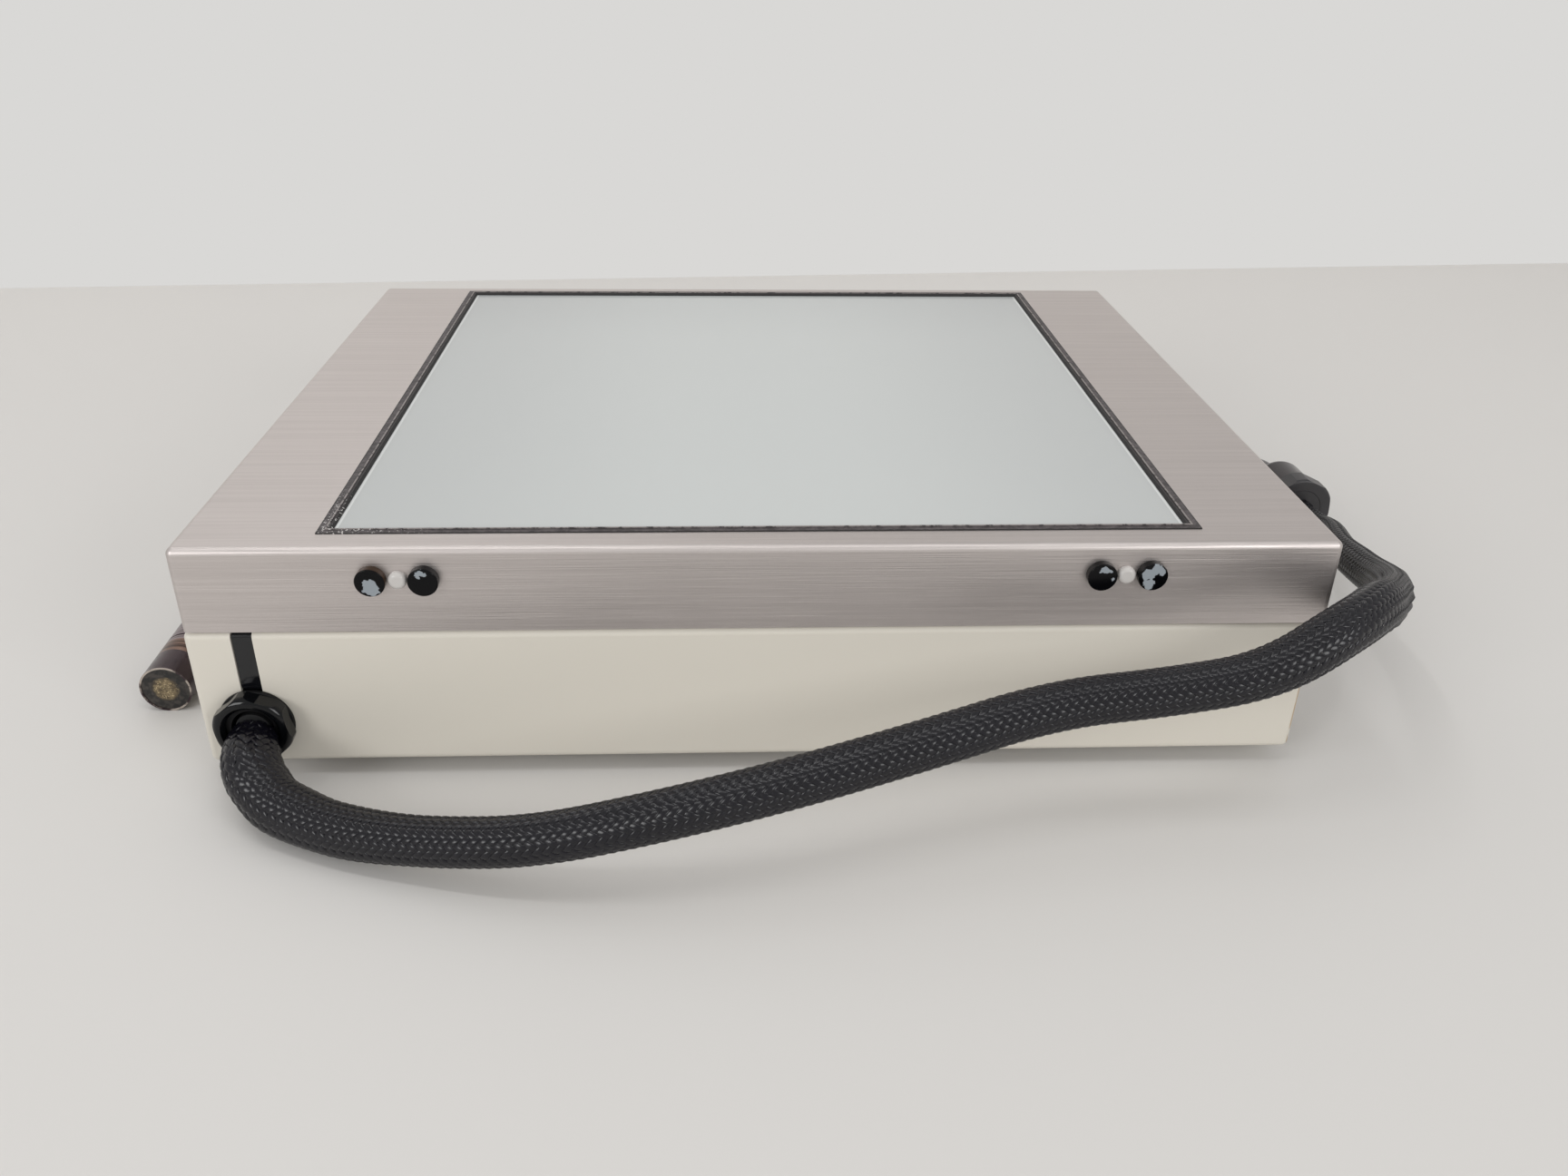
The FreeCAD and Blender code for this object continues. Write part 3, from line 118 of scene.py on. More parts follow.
def guide_curve(name, route_mm):
    """Smooth curve that starts and ends on the route and is drawn towards its other points."""
    data = bpy.data.curves.new(name, "CURVE")
    data.dimensions = "3D"
    data.resolution_u = CURVE_STEPS
    spline = data.splines.new("NURBS")
    spline.points.add(len(route_mm) - 1)
    for point, place in zip(spline.points, route_mm):
        point.co = (*(Vector(place) * MM), 1)
    spline.order_u = CURVE_ORDER
    spline.use_endpoint_u = True
    return bpy.data.objects.new(name, data)


def centreline(curve):
    """Points on the unbevelled curve, in order, and the length along them."""
    mesh = bpy.data.meshes.new_from_object(curve)
    points = [vertex.co.copy() for vertex in mesh.vertices]
    bpy.data.meshes.remove(mesh)
    reach = [0.0]
    for before, after in zip(points, points[1:]):
        reach.append(reach[-1] + (after - before).length)
    return points, reach


def evenly(points, reach, step):
    """The same line with points a step apart."""
    count = int(reach[-1] / step)
    places = []
    here = 0
    for number in range(count + 1):
        goal = reach[-1] * number / count
        while here < len(reach) - 2 and reach[here + 1] < goal:
            here += 1
        share = (goal - reach[here]) / max(reach[here + 1] - reach[here], SHORTEST_STEP)
        places.append(points[here].lerp(points[here + 1], min(share, 1)))
    return places


def link(obj):
    bpy.context.scene.collection.objects.link(obj)
    return obj


# Finishes are built from shader nodes. Signal wraps one socket, so that the maths of a finish
# reads as a plain expression; Finish makes the nodes and holds the surface they end in.
class Signal:
    def __init__(self, finish, node, socket):
        self.finish = finish
        self.source = node
        self.socket = socket

    def math(self, operation, first, second):
        return self.finish.node("ShaderNodeMath", {0: first, 1: second}, operation=operation)

    def __add__(self, other):
        return self.math("ADD", self, other)

    def __radd__(self, other):
        return self.math("ADD", other, self)

    def __sub__(self, other):
        return self.math("SUBTRACT", self, other)

    def __rsub__(self, other):
        return self.math("SUBTRACT", other, self)

    def __mul__(self, other):
        return self.math("MULTIPLY", self, other)

    def __rmul__(self, other):
        return self.math("MULTIPLY", other, self)

    def __lt__(self, other):
        return self.math("LESS_THAN", self, other)

    def __abs__(self):
        return self.math("ABSOLUTE", self, 0)

    def fade(self, start, end, low=0.0, high=1.0):
        """Smooth step from low at start to high at end."""
        values = {"Value": self, "From Min": start, "From Max": end, "To Min": low, "To Max": high}
        return self.finish.node("ShaderNodeMapRange", values, interpolation_type="SMOOTHSTEP")

    def mix(self, first, second):
        """Colour that goes from first to second as this signal goes from 0 to 1."""
        values = {"Factor": self, "A": first, "B": second}
        return self.finish.node("ShaderNodeMix", values, data_type="RGBA", output="Result")

    def part(self, name):
        return Signal(self.finish, self.source, self.source.outputs[name])


class Finish:
    def __init__(self, name, colour="#808080", roughness=0.5, metallic=0.0, **fixed):
        self.material = bpy.data.materials.new(name)
        self.material.use_nodes = True
        self.tree = self.material.node_tree
        self.surface = self.tree.nodes["Principled BSDF"]
        self.set("Base Color", colour)
        self.set("Roughness", roughness)
        self.set("Metallic", metallic)
        for socket, value in fixed.items():
            self.set(socket.replace("_", " "), value)

    def set(self, name, value):
        self.join(self.surface.inputs[name], value)

    def join(self, socket, value):
        if isinstance(value, Signal):
            self.tree.links.new(value.socket, socket)
        elif isinstance(value, str):
            socket.default_value = (*linear(value), 1)
        else:
            socket.default_value = value

    def node(self, kind, values=None, output=0, **settings):
        node = self.tree.nodes.new(kind)
        for setting, value in settings.items():
            setattr(node, setting, value)
        colours = kind == "ShaderNodeMix" and node.data_type == "RGBA"
        for key, value in (values or {}).items():
            self.join(self.find(node.inputs, key, colours), value)
        return Signal(self, node, self.find(node.outputs, output, colours))

    def find(self, sockets, key, colours):
        if isinstance(key, int):
            return sockets[key]
        named = [socket for socket in sockets if socket.name == key]
        if colours and len(named) > 1:
            named = [socket for socket in named if socket.type == "RGBA"] or named
        return named[0]

    def where(self):
        """Position in the piece's own frame, in metres."""
        return self.node("ShaderNodeTexCoord", output="Object")

    def axis(self, name):
        return self.node("ShaderNodeSeparateXYZ", {0: self.where()}).part(name)

    def noise(self, scale, detail=2.0, roughness=0.5, stretch=(1, 1, 1)):
        """Noise from 0 to 1 in the piece's own frame, stretched axis by axis."""
        place = self.node("ShaderNodeMapping", {"Vector": self.where(), "Scale": stretch})
        values = {"Vector": place, "Scale": scale, "Detail": detail, "Roughness": roughness}
        return self.node("ShaderNodeTexNoise", values)

    def patch(self, place_mm, radius_mm, ragged_mm=0.0, scale=500, soft_mm=0.3):
        """1 inside a round patch about a place, 0 outside it, with a ragged edge."""
        middle = Vector(place_mm) * MM
        apart = self.node("ShaderNodeVectorMath", {0: self.where(), 1: middle},
                          operation="DISTANCE", output="Value")
        if ragged_mm:
            apart = apart + (self.noise(scale, detail=3) - 0.5) * (2 * ragged_mm * MM)
        return apart.fade((radius_mm + soft_mm) * MM, (radius_mm - soft_mm) * MM)

    def relief(self, height, depth_mm, strength=1.0):
        """Small relief on the surface: height from 0 to 1 stands depth_mm tall."""
        values = {"Height": height, "Distance": depth_mm * MM, "Strength": strength}
        self.set("Normal", self.node("ShaderNodeBump", values))

    def wear(self, *nodes):
        """Put this finish on CAD nodes."""
        for name in nodes:
            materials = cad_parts[name].data.materials
            materials.clear()
            materials.append(self.material)


def linear(colour):
    """Linear values of a colour written the way screens show it."""
    channels = [int(colour[start:start + 2], 16) / 255 for start in (1, 3, 5)]
    return [value / 12.92 if value <= 0.04045 else ((value + 0.055) / 1.055) ** 2.4
            for value in channels]


# Bench and wall. Both are plain and pale; the wall stands behind the table and a little askew.
# It throws light and is mirrored, while the room's own colour is what shows behind the table,
# so that nothing hides the table from the back. Neither is part of the object.
FLOOR_COLOUR = "#d9d7d4"
WALL_COLOUR = "#e1dfdd"
FLOOR_SPAN = 4.0
WALL_LEFT_Y = 0.235
WALL_RIGHT_Y = 0.845
WALL_HEIGHT = 0.5
STUDIO_ROUGHNESS = 0.6


def studio_sheet(name, corners, colour):
    mesh = bpy.data.meshes.new(name)
    mesh.from_pydata(corners, [], [(0, 1, 2, 3)])
    sheet = link(bpy.data.objects.new(name, mesh))
    finish = Finish(name, colour, roughness=STUDIO_ROUGHNESS)
    mesh.materials.append(finish.material)
    return sheet


studio_sheet("bench_top", [(-FLOOR_SPAN, -FLOOR_SPAN, 0), (FLOOR_SPAN, -FLOOR_SPAN, 0),
                           (FLOOR_SPAN, WALL_RIGHT_Y, 0), (-FLOOR_SPAN, WALL_LEFT_Y, 0)],
             FLOOR_COLOUR)
wall = studio_sheet("wall", [(-FLOOR_SPAN, WALL_LEFT_Y, 0), (FLOOR_SPAN, WALL_RIGHT_Y, 0),
                             (FLOOR_SPAN, WALL_RIGHT_Y, WALL_HEIGHT),
                             (-FLOOR_SPAN, WALL_LEFT_Y, WALL_HEIGHT)],
                    WALL_COLOUR)
wall.visible_camera = False


# Studio light. The room gives most of it. Long ceiling lamps put the glints on the glossy
# pieces, the one at the back left only those, and two broad weak ones fill the front from
# either side. Behind the bench the camera sees the room's backdrop.
ROOM_COLOUR = "#efeeed"
ROOM_STRENGTH = 0.68
BACKDROP_COLOUR = "#d9d8d6"
TABLE_MIDDLE = (0, 0, 0)
TABLE_FRONT = (0, -0.2, 0)
BOX_MIDDLE = (0, 0, 0.05)


def soft_lamp(name, place, target, length, width, power):
    data = bpy.data.lights.new(name, "AREA")
    data.shape = "RECTANGLE"
    data.size = length
    data.size_y = width
    data.energy = power
    lamp = link(bpy.data.objects.new(name, data))
    lamp.location = place
    lamp.rotation_euler = (Vector(target) - Vector(place)).to_track_quat("-Z", "Y").to_euler()
    return lamp


soft_lamp("lamp_over", (-0.1, -0.6, 2.2), TABLE_FRONT, length=1.8, width=0.12, power=6)
glint_lamp = soft_lamp("lamp_back_left", (-0.8, 1.1, 1.6), TABLE_MIDDLE, length=1.3, width=0.08,
                       power=2.6)
glint_lamp.visible_diffuse = False
soft_lamp("lamp_over_left", (-0.6, 0.1, 1.8), TABLE_MIDDLE, length=1.2, width=0.07, power=2.2)
soft_lamp("lamp_over_right", (0.7, -0.4, 1.8), TABLE_MIDDLE, length=1.2, width=0.07, power=1.0)
soft_lamp("lamp_front_left", (-1.9, -2.2, 1.2), BOX_MIDDLE, length=1.2, width=1.0, power=24)
soft_lamp("lamp_front_right", (1.7, -2.2, 1.1), BOX_MIDDLE, length=1.2, width=1.0, power=20)

world = bpy.data.worlds.new("room")
bpy.context.scene.world = world
world.use_nodes = True
room = world.node_tree
room_light = room.nodes["Background"]
room_light.inputs["Color"].default_value = (*linear(ROOM_COLOUR), 1)
room_light.inputs["Strength"].default_value = ROOM_STRENGTH
room_backdrop = room.nodes.new("ShaderNodeBackground")
room_backdrop.inputs["Color"].default_value = (*linear(BACKDROP_COLOUR), 1)
room_mix = room.nodes.new("ShaderNodeMixShader")
light_path = room.nodes.new("ShaderNodeLightPath")
room.links.new(light_path.outputs["Is Camera Ray"], room_mix.inputs[0])
room.links.new(room_light.outputs[0], room_mix.inputs[1])
room.links.new(room_backdrop.outputs[0], room_mix.inputs[2])
room.links.new(room_mix.outputs[0], room.nodes["World Output"].inputs["Surface"])


# Cover: stainless sheet folded into a pan, its corners welded and dressed round. The brushed
# grain runs along the front, so light spreads across it and hardly along it.
cover_steel = Finish("cover_steel", metallic=1.0)
hairlines = cover_steel.noise(1.0, detail=1, stretch=(30, 3000, 3000))
streaks = cover_steel.noise(1.0, detail=3, stretch=(7, 600, 600))
clouds = cover_steel.noise(14, detail=2)
cover_steel.set("Base Color", streaks.fade(0.3, 0.7).mix("#c7c0bd", "#cec7c4"))
cover_steel.set("Roughness", clouds.fade(0.3, 0.7, 0.41, 0.46))
cover_steel.relief(hairlines, 0.09, 0.8)
cover_steel.wear("top_cover")


# Window: a pane of opal glass. It is a little darker towards its sides and back, where less
# light comes back from below, and its ground side edges catch the light beside the seal.
WINDOW_MIDDLE_X = 0.0006
PANE_HALF_WIDTH = 0.149
PANE_BACK_Y = 0.152
SIDE_SHARE = 0.7
BACK_SHARE = 0.3
opal_glass = Finish("opal_glass", roughness=0.17)
from_side = PANE_HALF_WIDTH - abs(opal_glass.axis("X") - WINDOW_MIDDLE_X)
from_back = PANE_BACK_Y - opal_glass.axis("Y")
brightness = from_side.fade(-0.02, 0.13) * SIDE_SHARE + from_back.fade(0.0, 0.09) * BACK_SHARE
side_light = from_side.fade(0.0036, 0.0030)
opal_glass.set("Base Color", side_light.mix(brightness.mix("#b3b6b6", "#c8cccb"), "#dcdfde"))
opal_glass.wear("window_glass")


# Seal: black rubber run in round the pane, with a thin ridge along its middle. Chips of dried
# adhesive stick to it at the front left corner, and its surface is torn and streaky. A near-black
# line along its outer edge is painted shade in the gap to the cover, and a lighter broken line on
# the ridge's top is a painted highlight.
SEAL_HALF_WIDTH = 0.1515
SEAL_HALF_DEPTH = 0.1511
SEAL_MIDDLE_Y = 0.0034
SEAL_RAGGED = 0.0008
seal_rubber = Finish("seal_rubber", roughness=0.62)
tears = seal_rubber.noise(420, detail=3, roughness=0.7)
from_side = SEAL_HALF_WIDTH - abs(seal_rubber.axis("X") - WINDOW_MIDDLE_X)
from_end = SEAL_HALF_DEPTH - abs(seal_rubber.axis("Y") - SEAL_MIDDLE_Y)
inward = from_side.math("MINIMUM", from_side, from_end) + (tears - 0.5) * SEAL_RAGGED
torn_tone = tears.fade(0.35, 0.7).mix("#3a3536", "#5d5758")
# Painted shade: a near-black line along the outer edge, in the gap to the cover.
outer_band_painted_gap_shade = inward.fade(0.0002, 0.0005).mix("#171516", torn_tone)
inner_band = inward.fade(0.0038, 0.0041).mix("#332f30", "#131112")
seal_tone = inward.fade(0.0027, 0.003).mix(outer_band_painted_gap_shade, inner_band)
# Painted highlight: a lighter broken line along the top of the ridge.
ridge_painted_highlight = seal_rubber.axis("Z").fade(0.09185, 0.0921) * tears.fade(0.36, 0.5)
corner_chips = (seal_rubber.noise(1400, detail=1).fade(0.64, 0.68)
                * seal_rubber.patch((-150, -147, 92), 26, soft_mm=22))
seal_rubber.set("Base Color", corner_chips.mix(ridge_painted_highlight.mix(seal_tone, "#8a8482"), "#dedbd8"))
seal_rubber.relief(tears, 0.12, 0.6)
seal_rubber.wear("window_seal")


# Diffuser: milky acrylic sheet under the pane, held up by sprung steel clips on welded studs.
white_acrylic = Finish("white_acrylic", roughness=0.35)
white_acrylic.set("Base Color", white_acrylic.noise(30).mix("#e0e0dc", "#e8e8e4"))
white_acrylic.wear("diffuser_sheet")


# Hidden steelwork: zinc-plated clips, studs, nuts, posts, brackets and screws, with the cloudy
# grey of bright zinc. The window's ledge, welded inside the cover, is given the same grey.
zinc_plate = Finish("zinc_plate", metallic=1.0)
spangle = zinc_plate.noise(220, detail=2)
zinc_plate.set("Base Color", spangle.mix("#9a9a97", "#b5b4af"))
zinc_plate.set("Roughness", spangle.fade(0.3, 0.7, 0.28, 0.42))
zinc_plate.wear("window_ledge", "diffuser_clips", "clip_studs", "clip_nuts", "corner_posts",
                "post_screws", "foot_screws", "foot_nuts", "bar_brackets", "bracket_screws",
                "reflector_screws", "splitter_screws", "branch_clips", "branch_clip_screws")


# Discs: magnets with a glossy black coat, stuck to the cover's front. Dull blue-grey patches on
# their fronts are painted reflections, rougher and lower than the coat; the first disc's edge is
# coloured brown.
DISC_HEIGHT_MM = 80.2
DISC_FACE_MM = -162.1
FIRST_DISC_RIGHT_X = -0.122

# Painted reflections: distance right of the table's middle, height above the discs' middle and
# radius, mm.
PAINTED_REFLECTIONS = [
    (-131.2, -1.2, 2.6), (-130.4, -2.2, 2.4), (-115.2, 2.9, 1.2), (-114.0, 3.5, 1.3),
    (-113.0, 3.0, 1.0), (115.0, 3.1, 1.4), (116.4, 2.7, 1.2), (118.3, -0.7, 0.5),
    (130.6, 1.1, 2.3), (133.2, 3.0, 2.1), (131.1, -2.3, 1.9), (134.6, 2.0, 1.3),
]
disc_coat_painted_reflections = Finish("disc_coat_painted_reflections", Specular_IOR_Level=0.16)
painted_reflection = 0.0
for reflection_x, reflection_up, reflection_radius in PAINTED_REFLECTIONS:
    reflection_patch = disc_coat_painted_reflections.patch((reflection_x, DISC_FACE_MM, DISC_HEIGHT_MM + reflection_up), reflection_radius,
                              ragged_mm=1.5, scale=600, soft_mm=0.1)
    painted_reflection = reflection_patch.math("MAXIMUM", reflection_patch, painted_reflection)
painted_reflection_front = painted_reflection * disc_coat_painted_reflections.axis("Y").fade(-0.1617, -0.1619)
first_disc = disc_coat_painted_reflections.axis("X") < FIRST_DISC_RIGHT_X
brown_edge = first_disc * disc_coat_painted_reflections.axis("Y").fade(-0.16205, -0.1617)
coat_tone = brown_edge.mix("#050507", "#3a2a1e")
# Painted reflections: dull blue-grey patches on the discs' fronts.
disc_coat_painted_reflections.set("Base Color", painted_reflection_front.mix(coat_tone, "#8f969c"))
disc_coat_painted_reflections.set("Roughness", painted_reflection_front.fade(0, 1, 0.12, 0.5))
disc_coat_painted_reflections.relief(1 - painted_reflection_front, 0.05, 0.7)
disc_coat_painted_reflections.wear("front_discs")


# Bumpers: clear soft domes with an adhesive back, between the discs of each pair.
clear_bumper = Finish("clear_bumper", roughness=0.12, Transmission_Weight=0.25, IOR=1.45)
clear_bumper.set("Base Color", clear_bumper.noise(260).mix("#d3cfcb", "#e3e0dd"))
clear_bumper.wear("front_bumpers")


# Base: folded steel tray with an ivory powder coat, faintly pebbled. The paint is worn to a
# brown line on the right front edge.
ivory_coat = Finish("ivory_coat", roughness=0.38)
pebble = ivory_coat.noise(900, detail=1)
along_edge = ivory_coat.axis("X") - ivory_coat.axis("Y")
edge_wear = along_edge.fade(0.35282, 0.35298) * ivory_coat.noise(160).fade(0.3, 0.5)
ivory_coat.set("Base Color", edge_wear.mix("#d3cec3", "#b39b7c"))
ivory_coat.relief(pebble, 0.02, 0.3)
ivory_coat.wear("base_tray")


# Slot strip: glossy black plastic bent over the rim of the slot, with its backing plate.
strip_plastic = Finish("strip_plastic", "#0d0e11", roughness=0.13)
strip_plastic.relief(strip_plastic.noise(60), 0.05, 0.5)
strip_plastic.wear("slot_strip")


# Feet and the gland's washer: moulded black rubber, dusty where it isn't touched.
black_rubber = Finish("black_rubber", roughness=0.65)
black_rubber.set("Base Color", black_rubber.noise(120, detail=3).mix("#151516", "#262627"))
black_rubber.wear("rubber_feet", "gland_washer")


# Light bars: extruded aluminium, anodised black, with their end plates. The fibres' ends show as
# a polished amber line behind a clear glass rod.
black_anodised = Finish("black_anodised", roughness=0.4, metallic=0.6)
extrusion_lines = black_anodised.noise(1, stretch=(900, 9, 900))
black_anodised.set("Base Color", extrusion_lines.mix("#141416", "#222225"))
black_anodised.wear("light_bar_left", "light_bar_right", "bar_end_plates")
fibre_line = Finish("fibre_line", roughness=0.25)
single_fibres = fibre_line.noise(2200, detail=0).fade(0.4, 0.6)
fibre_line.set("Base Color", single_fibres.mix("#6b5330", "#c9ad74"))
fibre_line.wear("fibre_line_left", "fibre_line_right")
clear_glass = Finish("clear_glass", "#e8eeec", roughness=0.03, Transmission_Weight=1.0, IOR=1.5)
clear_glass.wear("rod_lens_left", "rod_lens_right")


# Reflector: steel panel with a matt white coat, on turned aluminium standoffs.
white_coat = Finish("white_coat", roughness=0.7)
white_coat.set("Base Color", white_coat.noise(25).mix("#e2e2df", "#eaeae7"))
white_coat.wear("reflector_panel")
turned_aluminium = Finish("turned_aluminium", metallic=1.0)
turning = turned_aluminium.noise(1, detail=1, stretch=(40, 2600, 40))
turned_aluminium.set("Base Color", turning.mix("#9b9a99", "#b3b2b0"))
turned_aluminium.set("Roughness", turning.fade(0.3, 0.7, 0.24, 0.38))
turned_aluminium.wear("reflector_standoffs")


# Splitter and branches: black moulded block where the bundle divides, and the jacketed branches
# that run from it to the bars.
black_matt = Finish("black_matt", roughness=0.55)
black_matt.set("Base Color", black_matt.noise(200).mix("#111112", "#1b1b1c"))
black_matt.wear("splitter_block", "bundle_trunk", "branch_left", "branch_right")


# Gland: glossy black nylon bushing through the base's wall, its nut turned on from the front
# and a locknut inside. The mouldings are wavy, so their highlights break up.
gland_nylon = Finish("gland_nylon", "#060709", roughness=0.08, Specular_IOR_Level=0.3)
gland_nylon.relief(gland_nylon.noise(180, detail=2), 0.12, 0.5)
gland_nylon.wear("gland_nut", "gland_locknut")
bushing_nylon = Finish("bushing_nylon", roughness=0.5, Specular_IOR_Level=0.2)
bushing_nylon.set("Base Color", bushing_nylon.noise(200).mix("#050506", "#0b0b0d"))
bushing_nylon.wear("gland_body")


# Coupling: a moulded charcoal nut, mottled in tone, on a glossy purple-brown barrel that joins
# the sleeve to the jacket.
charcoal_nut = Finish("charcoal_nut", roughness=0.36)
charcoal_nut.set("Base Color", charcoal_nut.noise(110, detail=3).mix("#232224", "#39373a"))
charcoal_nut.relief(charcoal_nut.noise(700), 0.03, 0.4)
charcoal_nut.wear("coupling_nut")
barrel_gloss = Finish("barrel_gloss", roughness=0.16)
barrel_gloss.set("Base Color", barrel_gloss.noise(90).mix("#141013", "#2a2226"))
barrel_gloss.wear("coupling_body")

BUSH_MIDDLE_MM = Vector((275.6, 30.0, 16))
BUSH_PROFILE_MM = [(5.0, 0.6), (5.5, 0.1), (10.2, 0.1), (9.1, 1.3), (9.1, 2.0), (5.0, 2.0)]


def build_bush(around=48):
    """Ring that shuts the nut's mouth round the sleeve, flush with the nut's face."""
    vertices = []
    faces = []
    for step in range(around):
        angle = 2 * math.pi * step / around
        for radius, behind in BUSH_PROFILE_MM:
            away = Vector((radius * math.cos(angle), behind, radius * math.sin(angle)))
            vertices.append((BUSH_MIDDLE_MM + away) * MM)
    rows = len(BUSH_PROFILE_MM)
    for step in range(around):
        after = (step + 1) % around
        for row in range(rows):
            beside = (row + 1) % rows
            faces.append((step * rows + row, step * rows + beside, after * rows + beside,
                          after * rows + row))
    mesh = bpy.data.meshes.new("coupling_bush")
    mesh.from_pydata(vertices, [], faces)
    return link(bpy.data.objects.new("coupling_bush", mesh))


bush = build_bush()
bush.data.materials.append(charcoal_nut.material)
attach(bush, "base")


# Plug: a metal tip with the fibres potted in its end, then a copper-coloured band, a spacer and
# a grooved barrel, all one diameter, and a moulded boot.
tip_metal = Finish("tip_metal", roughness=0.22, metallic=0.5)
stain = tip_metal.noise(150, detail=4, roughness=0.6)
rim_wear = tip_metal.axis("Y").fade(-0.1152, -0.1154) * stain.fade(0.42, 0.56)
tip_metal.set("Base Color", rim_wear.mix(stain.mix("#2e2326", "#4b3c40"), "#b5aba2"))
tip_metal.wear("plug_tip")
band_copper = Finish("band_copper", roughness=0.3, metallic=1.0)
rings = band_copper.noise(1, detail=2, stretch=(20, 1100, 20))
band_copper.set("Base Color", rings.fade(0.35, 0.65).mix("#3e302b", "#93786a"))
band_copper.relief(rings, 0.1, 0.5)
band_copper.wear("plug_band")
barrel_metal = Finish("barrel_metal", roughness=0.28, metallic=0.8)
lathe_lines = barrel_metal.noise(1, detail=1, stretch=(30, 1500, 30))
barrel_metal.set("Base Color", lathe_lines.fade(0.4, 0.6).mix("#57494d", "#8a7d80"))
barrel_metal.wear("plug_spacer", "plug_barrel")
potting = Finish("potting", roughness=0.35)
potting.set("Base Color", potting.noise(500, detail=3).fade(0.4, 0.65).mix("#171514", "#3b3632"))
potting.wear("fibre_epoxy")
CORE_FACE_MM = (-229.4, -115.2, 9.75)
CORE_RADIUS_MM = 4.6
core_fibres = Finish("core_fibres", roughness=0.3)
mottle = core_fibres.noise(700, detail=3).fade(0.35, 0.65).mix("#4f422e", "#7f6f52")
glints = core_fibres.noise(2600, detail=0).fade(0.68, 0.72)
core_edge = core_fibres.patch(CORE_FACE_MM, CORE_RADIUS_MM, ragged_mm=1.2, soft_mm=0.9)
core_fibres.set("Base Color", core_edge.mix("#2c2620", glints.mix(mottle, "#b3a27f")))
core_fibres.wear("fibre_core")


# Jacket: smooth dark tube over the fibre bundle, from the coupling to the plug's boot.
JACKET_DIAMETER_MM = 13.0
JACKET_ROUNDNESS = 8
jacket_curve = guide_curve("guide_jacket_tube", JACKET_ROUTE_MM)
jacket_points, jacket_reach = centreline(jacket_curve)
jacket_curve.data.bevel_depth = JACKET_DIAMETER_MM / 2 * MM
jacket_curve.data.bevel_resolution = JACKET_ROUNDNESS
jacket_curve.data.use_fill_caps = True
link(jacket_curve)
jacket_rubber = Finish("jacket_rubber", roughness=0.3)
jacket_rubber.set("Base Color", jacket_rubber.noise(60, detail=3).mix("#19171a", "#262327"))
jacket_curve.data.materials.append(jacket_rubber.material)
jacket_rubber.wear("plug_boot")
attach(jacket_curve, "base")
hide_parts("guide_jacket")


# Sleeve: a braid of flat black yarns over a dark conduit. Each yarn is three filaments wide
# and goes over two yarns and under two, so the braid shows rows of slanted dashes. It sags wide
# out of the gland, folds flat where it turns the corner, and thins towards the coupling.
SLEEVE_DIAMETER_MM = 16.5
YARNS_EACH_WAY = 20
YARN_WIDTH_MM = 2.3
YARN_CROWN_MM = 0.3
YARN_LIFT_MM = 0.4
BRAID_TWIST = 0.786
STEPS_PER_CROSSING = 2
YARN_PROFILE = [(-1.0, -1.0), (-0.66, 0.3), (-0.33, -0.1), (0.0, 0.5), (0.33, -0.1), (0.66, 0.3),
                (1.0, -1.0)]
YARN_INSET_MM = 0.5
CREASES_AROUND = 16
CONDUIT_INSET_MM = 1.15
CONDUIT_STEP_MM = 3

# Reach from the gland, half width, half height, shift towards the table, sag, crease depth, mm.
SLEEVE_STATIONS = [
    (0, 8.0, 6.4, 0.0, 2.2, 0.0),
    (3, 8.9, 6.8, 0.3, 3.0, 0.0),
    (9, 9.8, 7.9, 1.2, 3.0, 0.0),
    (17, 10.1, 9.0, 1.9, 2.0, 0.0),
    (27, 10.1, 9.8, 2.2, 0.4, 0.0),
    (38, 9.8, 9.8, 1.0, 0.0, 0.0),
    (60, 9.0, 9.0, 0.0, 0.0, 0.0),
    (95, 8.25, 8.25, 0.0, 0.0, 0.0),
    (365, 8.25, 8.25, 0.0, 0.0, 0.0),
    (405, 8.8, 9.4, 0.0, 0.0, 0.0),
    (432, 8.6, 9.9, 0.0, 0.8, 0.3),
    (455, 7.2, 10.5, -1.3, 2.8, 0.7),
    (478, 7.8, 9.8, -2.4, 1.9, 0.8),
    (505, 8.2, 8.4, -2.2, 0.0, 0.4),
    (545, 7.6, 7.6, -1.4, 0.0, 0.0),
    (580, 6.8, 6.8, 0.0, 0.0, 0.0),
    (625, 5.9, 5.9, 0.0, 0.0, 0.0),
    (700, 5.2, 5.2, 0.0, 0.0, 0.0),
]

sleeve_curve = guide_curve("sleeve_line", SLEEVE_ROUTE_MM)
sleeve_points, sleeve_reach = centreline(sleeve_curve)
sleeve_length = sleeve_reach[-1]
UPRIGHT = Vector((0, 0, 1))
SleeveFrame = namedtuple("SleeveFrame", "centre side up ahead wide tall crease")


def sleeve_station(reach_mm):
    """Half width, half height, shift, sag and crease depth at a reach, blended smoothly."""
    after = next(number for number, station in enumerate(SLEEVE_STATIONS) if station[0] > reach_mm)
    near, far = SLEEVE_STATIONS[after - 1], SLEEVE_STATIONS[after]
    share = (reach_mm - near[0]) / (far[0] - near[0])
    share = share * share * (3 - 2 * share)
    return [a + (b - a) * share for a, b in zip(near[1:], far[1:])]


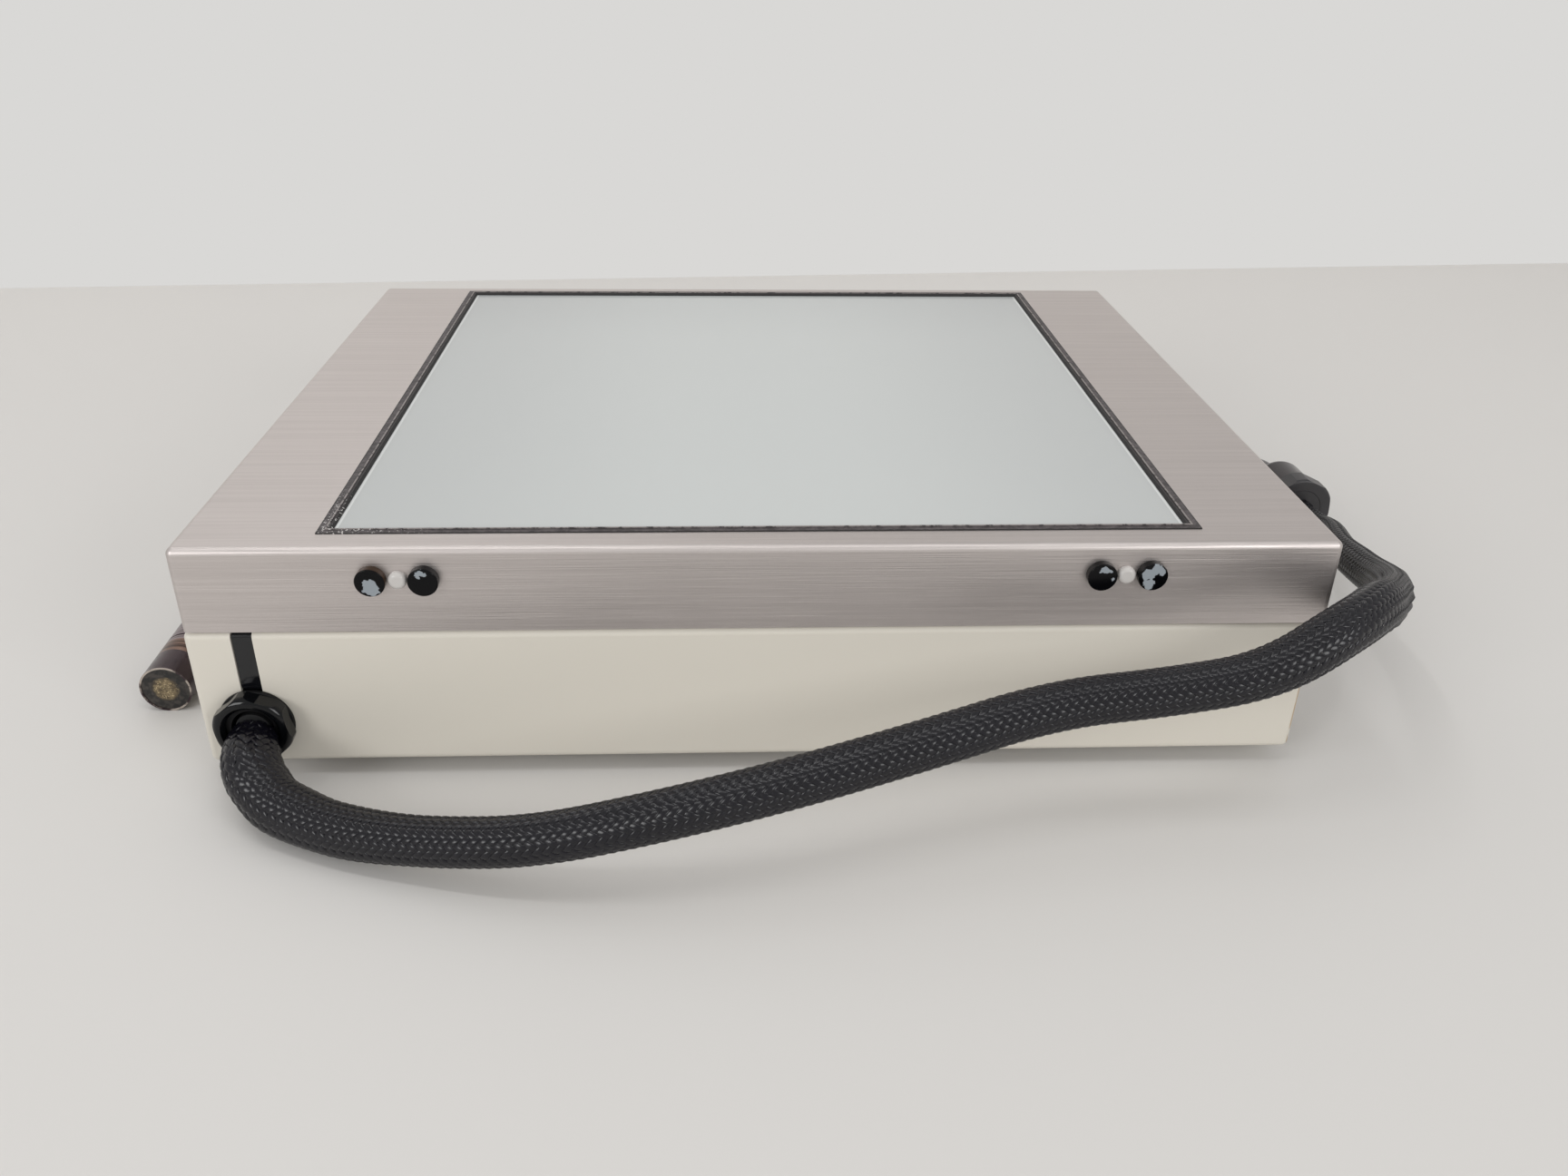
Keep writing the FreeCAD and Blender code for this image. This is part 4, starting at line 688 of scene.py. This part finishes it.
def sleeve_frames(step):
    """Centre, directions and section of the sleeve at even steps."""
    places = evenly(sleeve_points, sleeve_reach, step)
    frames = []
    for number, place in enumerate(places):
        before = places[max(number - 1, 0)]
        after = places[min(number + 1, len(places) - 1)]
        ahead = (after - before).normalized()
        side = ahead.cross(UPRIGHT).normalized()
        reach_mm = sleeve_length / MM * number / (len(places) - 1)
        wide, tall, shift, sag, crease = sleeve_station(reach_mm)
        centre = place - side * (shift * MM) - UPRIGHT * (sag * MM)
        frames.append(SleeveFrame(centre, side, side.cross(ahead), ahead, wide, tall, crease))
    return frames


def sleeve_offset(frame_here, angle, inset_mm):
    """From the centre to the sleeve's surface at an angle, inset by some mm."""
    inset_mm = inset_mm + frame_here.crease * (1 + math.cos(CREASES_AROUND * angle)) / 2
    return (frame_here.side * ((frame_here.wide - inset_mm) * math.cos(angle) * MM)
            + frame_here.up * ((frame_here.tall - inset_mm) * math.sin(angle) * MM))


def build_sleeve():
    """Yarns wound both ways. One way lifts where the other dips, two crossings at a time."""
    circumference = math.pi * SLEEVE_DIAMETER_MM
    crossing_mm = circumference / (2 * YARNS_EACH_WAY * BRAID_TWIST)
    step_mm = crossing_mm / STEPS_PER_CROSSING
    frames = sleeve_frames(step_mm * MM)
    step_mm = sleeve_length / MM / (len(frames) - 1)
    turn_per_step = math.pi / YARNS_EACH_WAY * step_mm / crossing_mm
    slant = math.atan(BRAID_TWIST)
    vertices = []
    faces = []
    for way in (1, -1):
        for yarn in range(YARNS_EACH_WAY):
            first = len(vertices)
            for number, frame_here in enumerate(frames):
                breadth = frame_here.wide + frame_here.tall
                spread = breadth / SLEEVE_DIAMETER_MM
                angle = 2 * math.pi * yarn / YARNS_EACH_WAY + way * turn_per_step * number
                crossings = angle * YARNS_EACH_WAY / math.pi
                lift = way * YARN_LIFT_MM * math.cos(math.pi / 2 * (crossings - 0.5))
                for across, crown in YARN_PROFILE:
                    sideways = across * YARN_WIDTH_MM / 2 * spread
                    local = angle + sideways * math.cos(slant) * 2 / breadth
                    along = -way * sideways * math.sin(slant) * MM
                    inset = YARN_INSET_MM - lift - crown * YARN_CROWN_MM
                    vertices.append(frame_here.centre + sleeve_offset(frame_here, local, inset)
                                    + frame_here.ahead * along)
            rows = len(YARN_PROFILE)
            for number in range(len(frames) - 1):
                for column in range(rows - 1):
                    corner = first + number * rows + column
                    faces.append((corner, corner + 1, corner + rows + 1, corner + rows))
    mesh = bpy.data.meshes.new("guide_sleeve_braid")
    mesh.from_pydata(vertices, [], faces)
    mesh.shade_smooth()
    return link(bpy.data.objects.new("guide_sleeve_braid", mesh))


def build_conduit(frames, around=32):
    """Dark tube under the yarns, which shows in the gaps between them."""
    vertices = []
    faces = []
    for frame_here in frames:
        for step in range(around):
            offset = sleeve_offset(frame_here, 2 * math.pi * step / around, CONDUIT_INSET_MM)
            vertices.append(frame_here.centre + offset)
    for number in range(len(frames) - 1):
        for step in range(around):
            corner = number * around + step
            beside = number * around + (step + 1) % around
            faces.append((corner, beside, beside + around, corner + around))
    mesh = bpy.data.meshes.new("guide_sleeve_conduit")
    mesh.from_pydata(vertices, [], faces)
    mesh.shade_smooth()
    return link(bpy.data.objects.new("guide_sleeve_conduit", mesh))


braid = build_sleeve()
braid_yarn = Finish("braid_yarn", roughness=0.24, Specular_IOR_Level=0.42)
dusty = braid_yarn.noise(45, detail=3).mix("#09080e", "#100f17")
lint = braid_yarn.noise(2400, detail=0).fade(0.83, 0.86) * braid_yarn.axis("X").fade(0.14, 0.2)
braid_yarn.set("Base Color", lint.mix(dusty, "#b9b7b4"))
braid.data.materials.append(braid_yarn.material)
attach(braid, "base")

conduit_frames = sleeve_frames(CONDUIT_STEP_MM * MM)
conduit = build_conduit(conduit_frames)
conduit_wall = Finish("conduit_wall", roughness=0.7, Specular_IOR_Level=0.15)
conduit_wall.set("Base Color", conduit_wall.noise(200).mix("#040405", "#09090a"))
conduit.data.materials.append(conduit_wall.material)
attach(conduit, "base")
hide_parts("guide_sleeve")
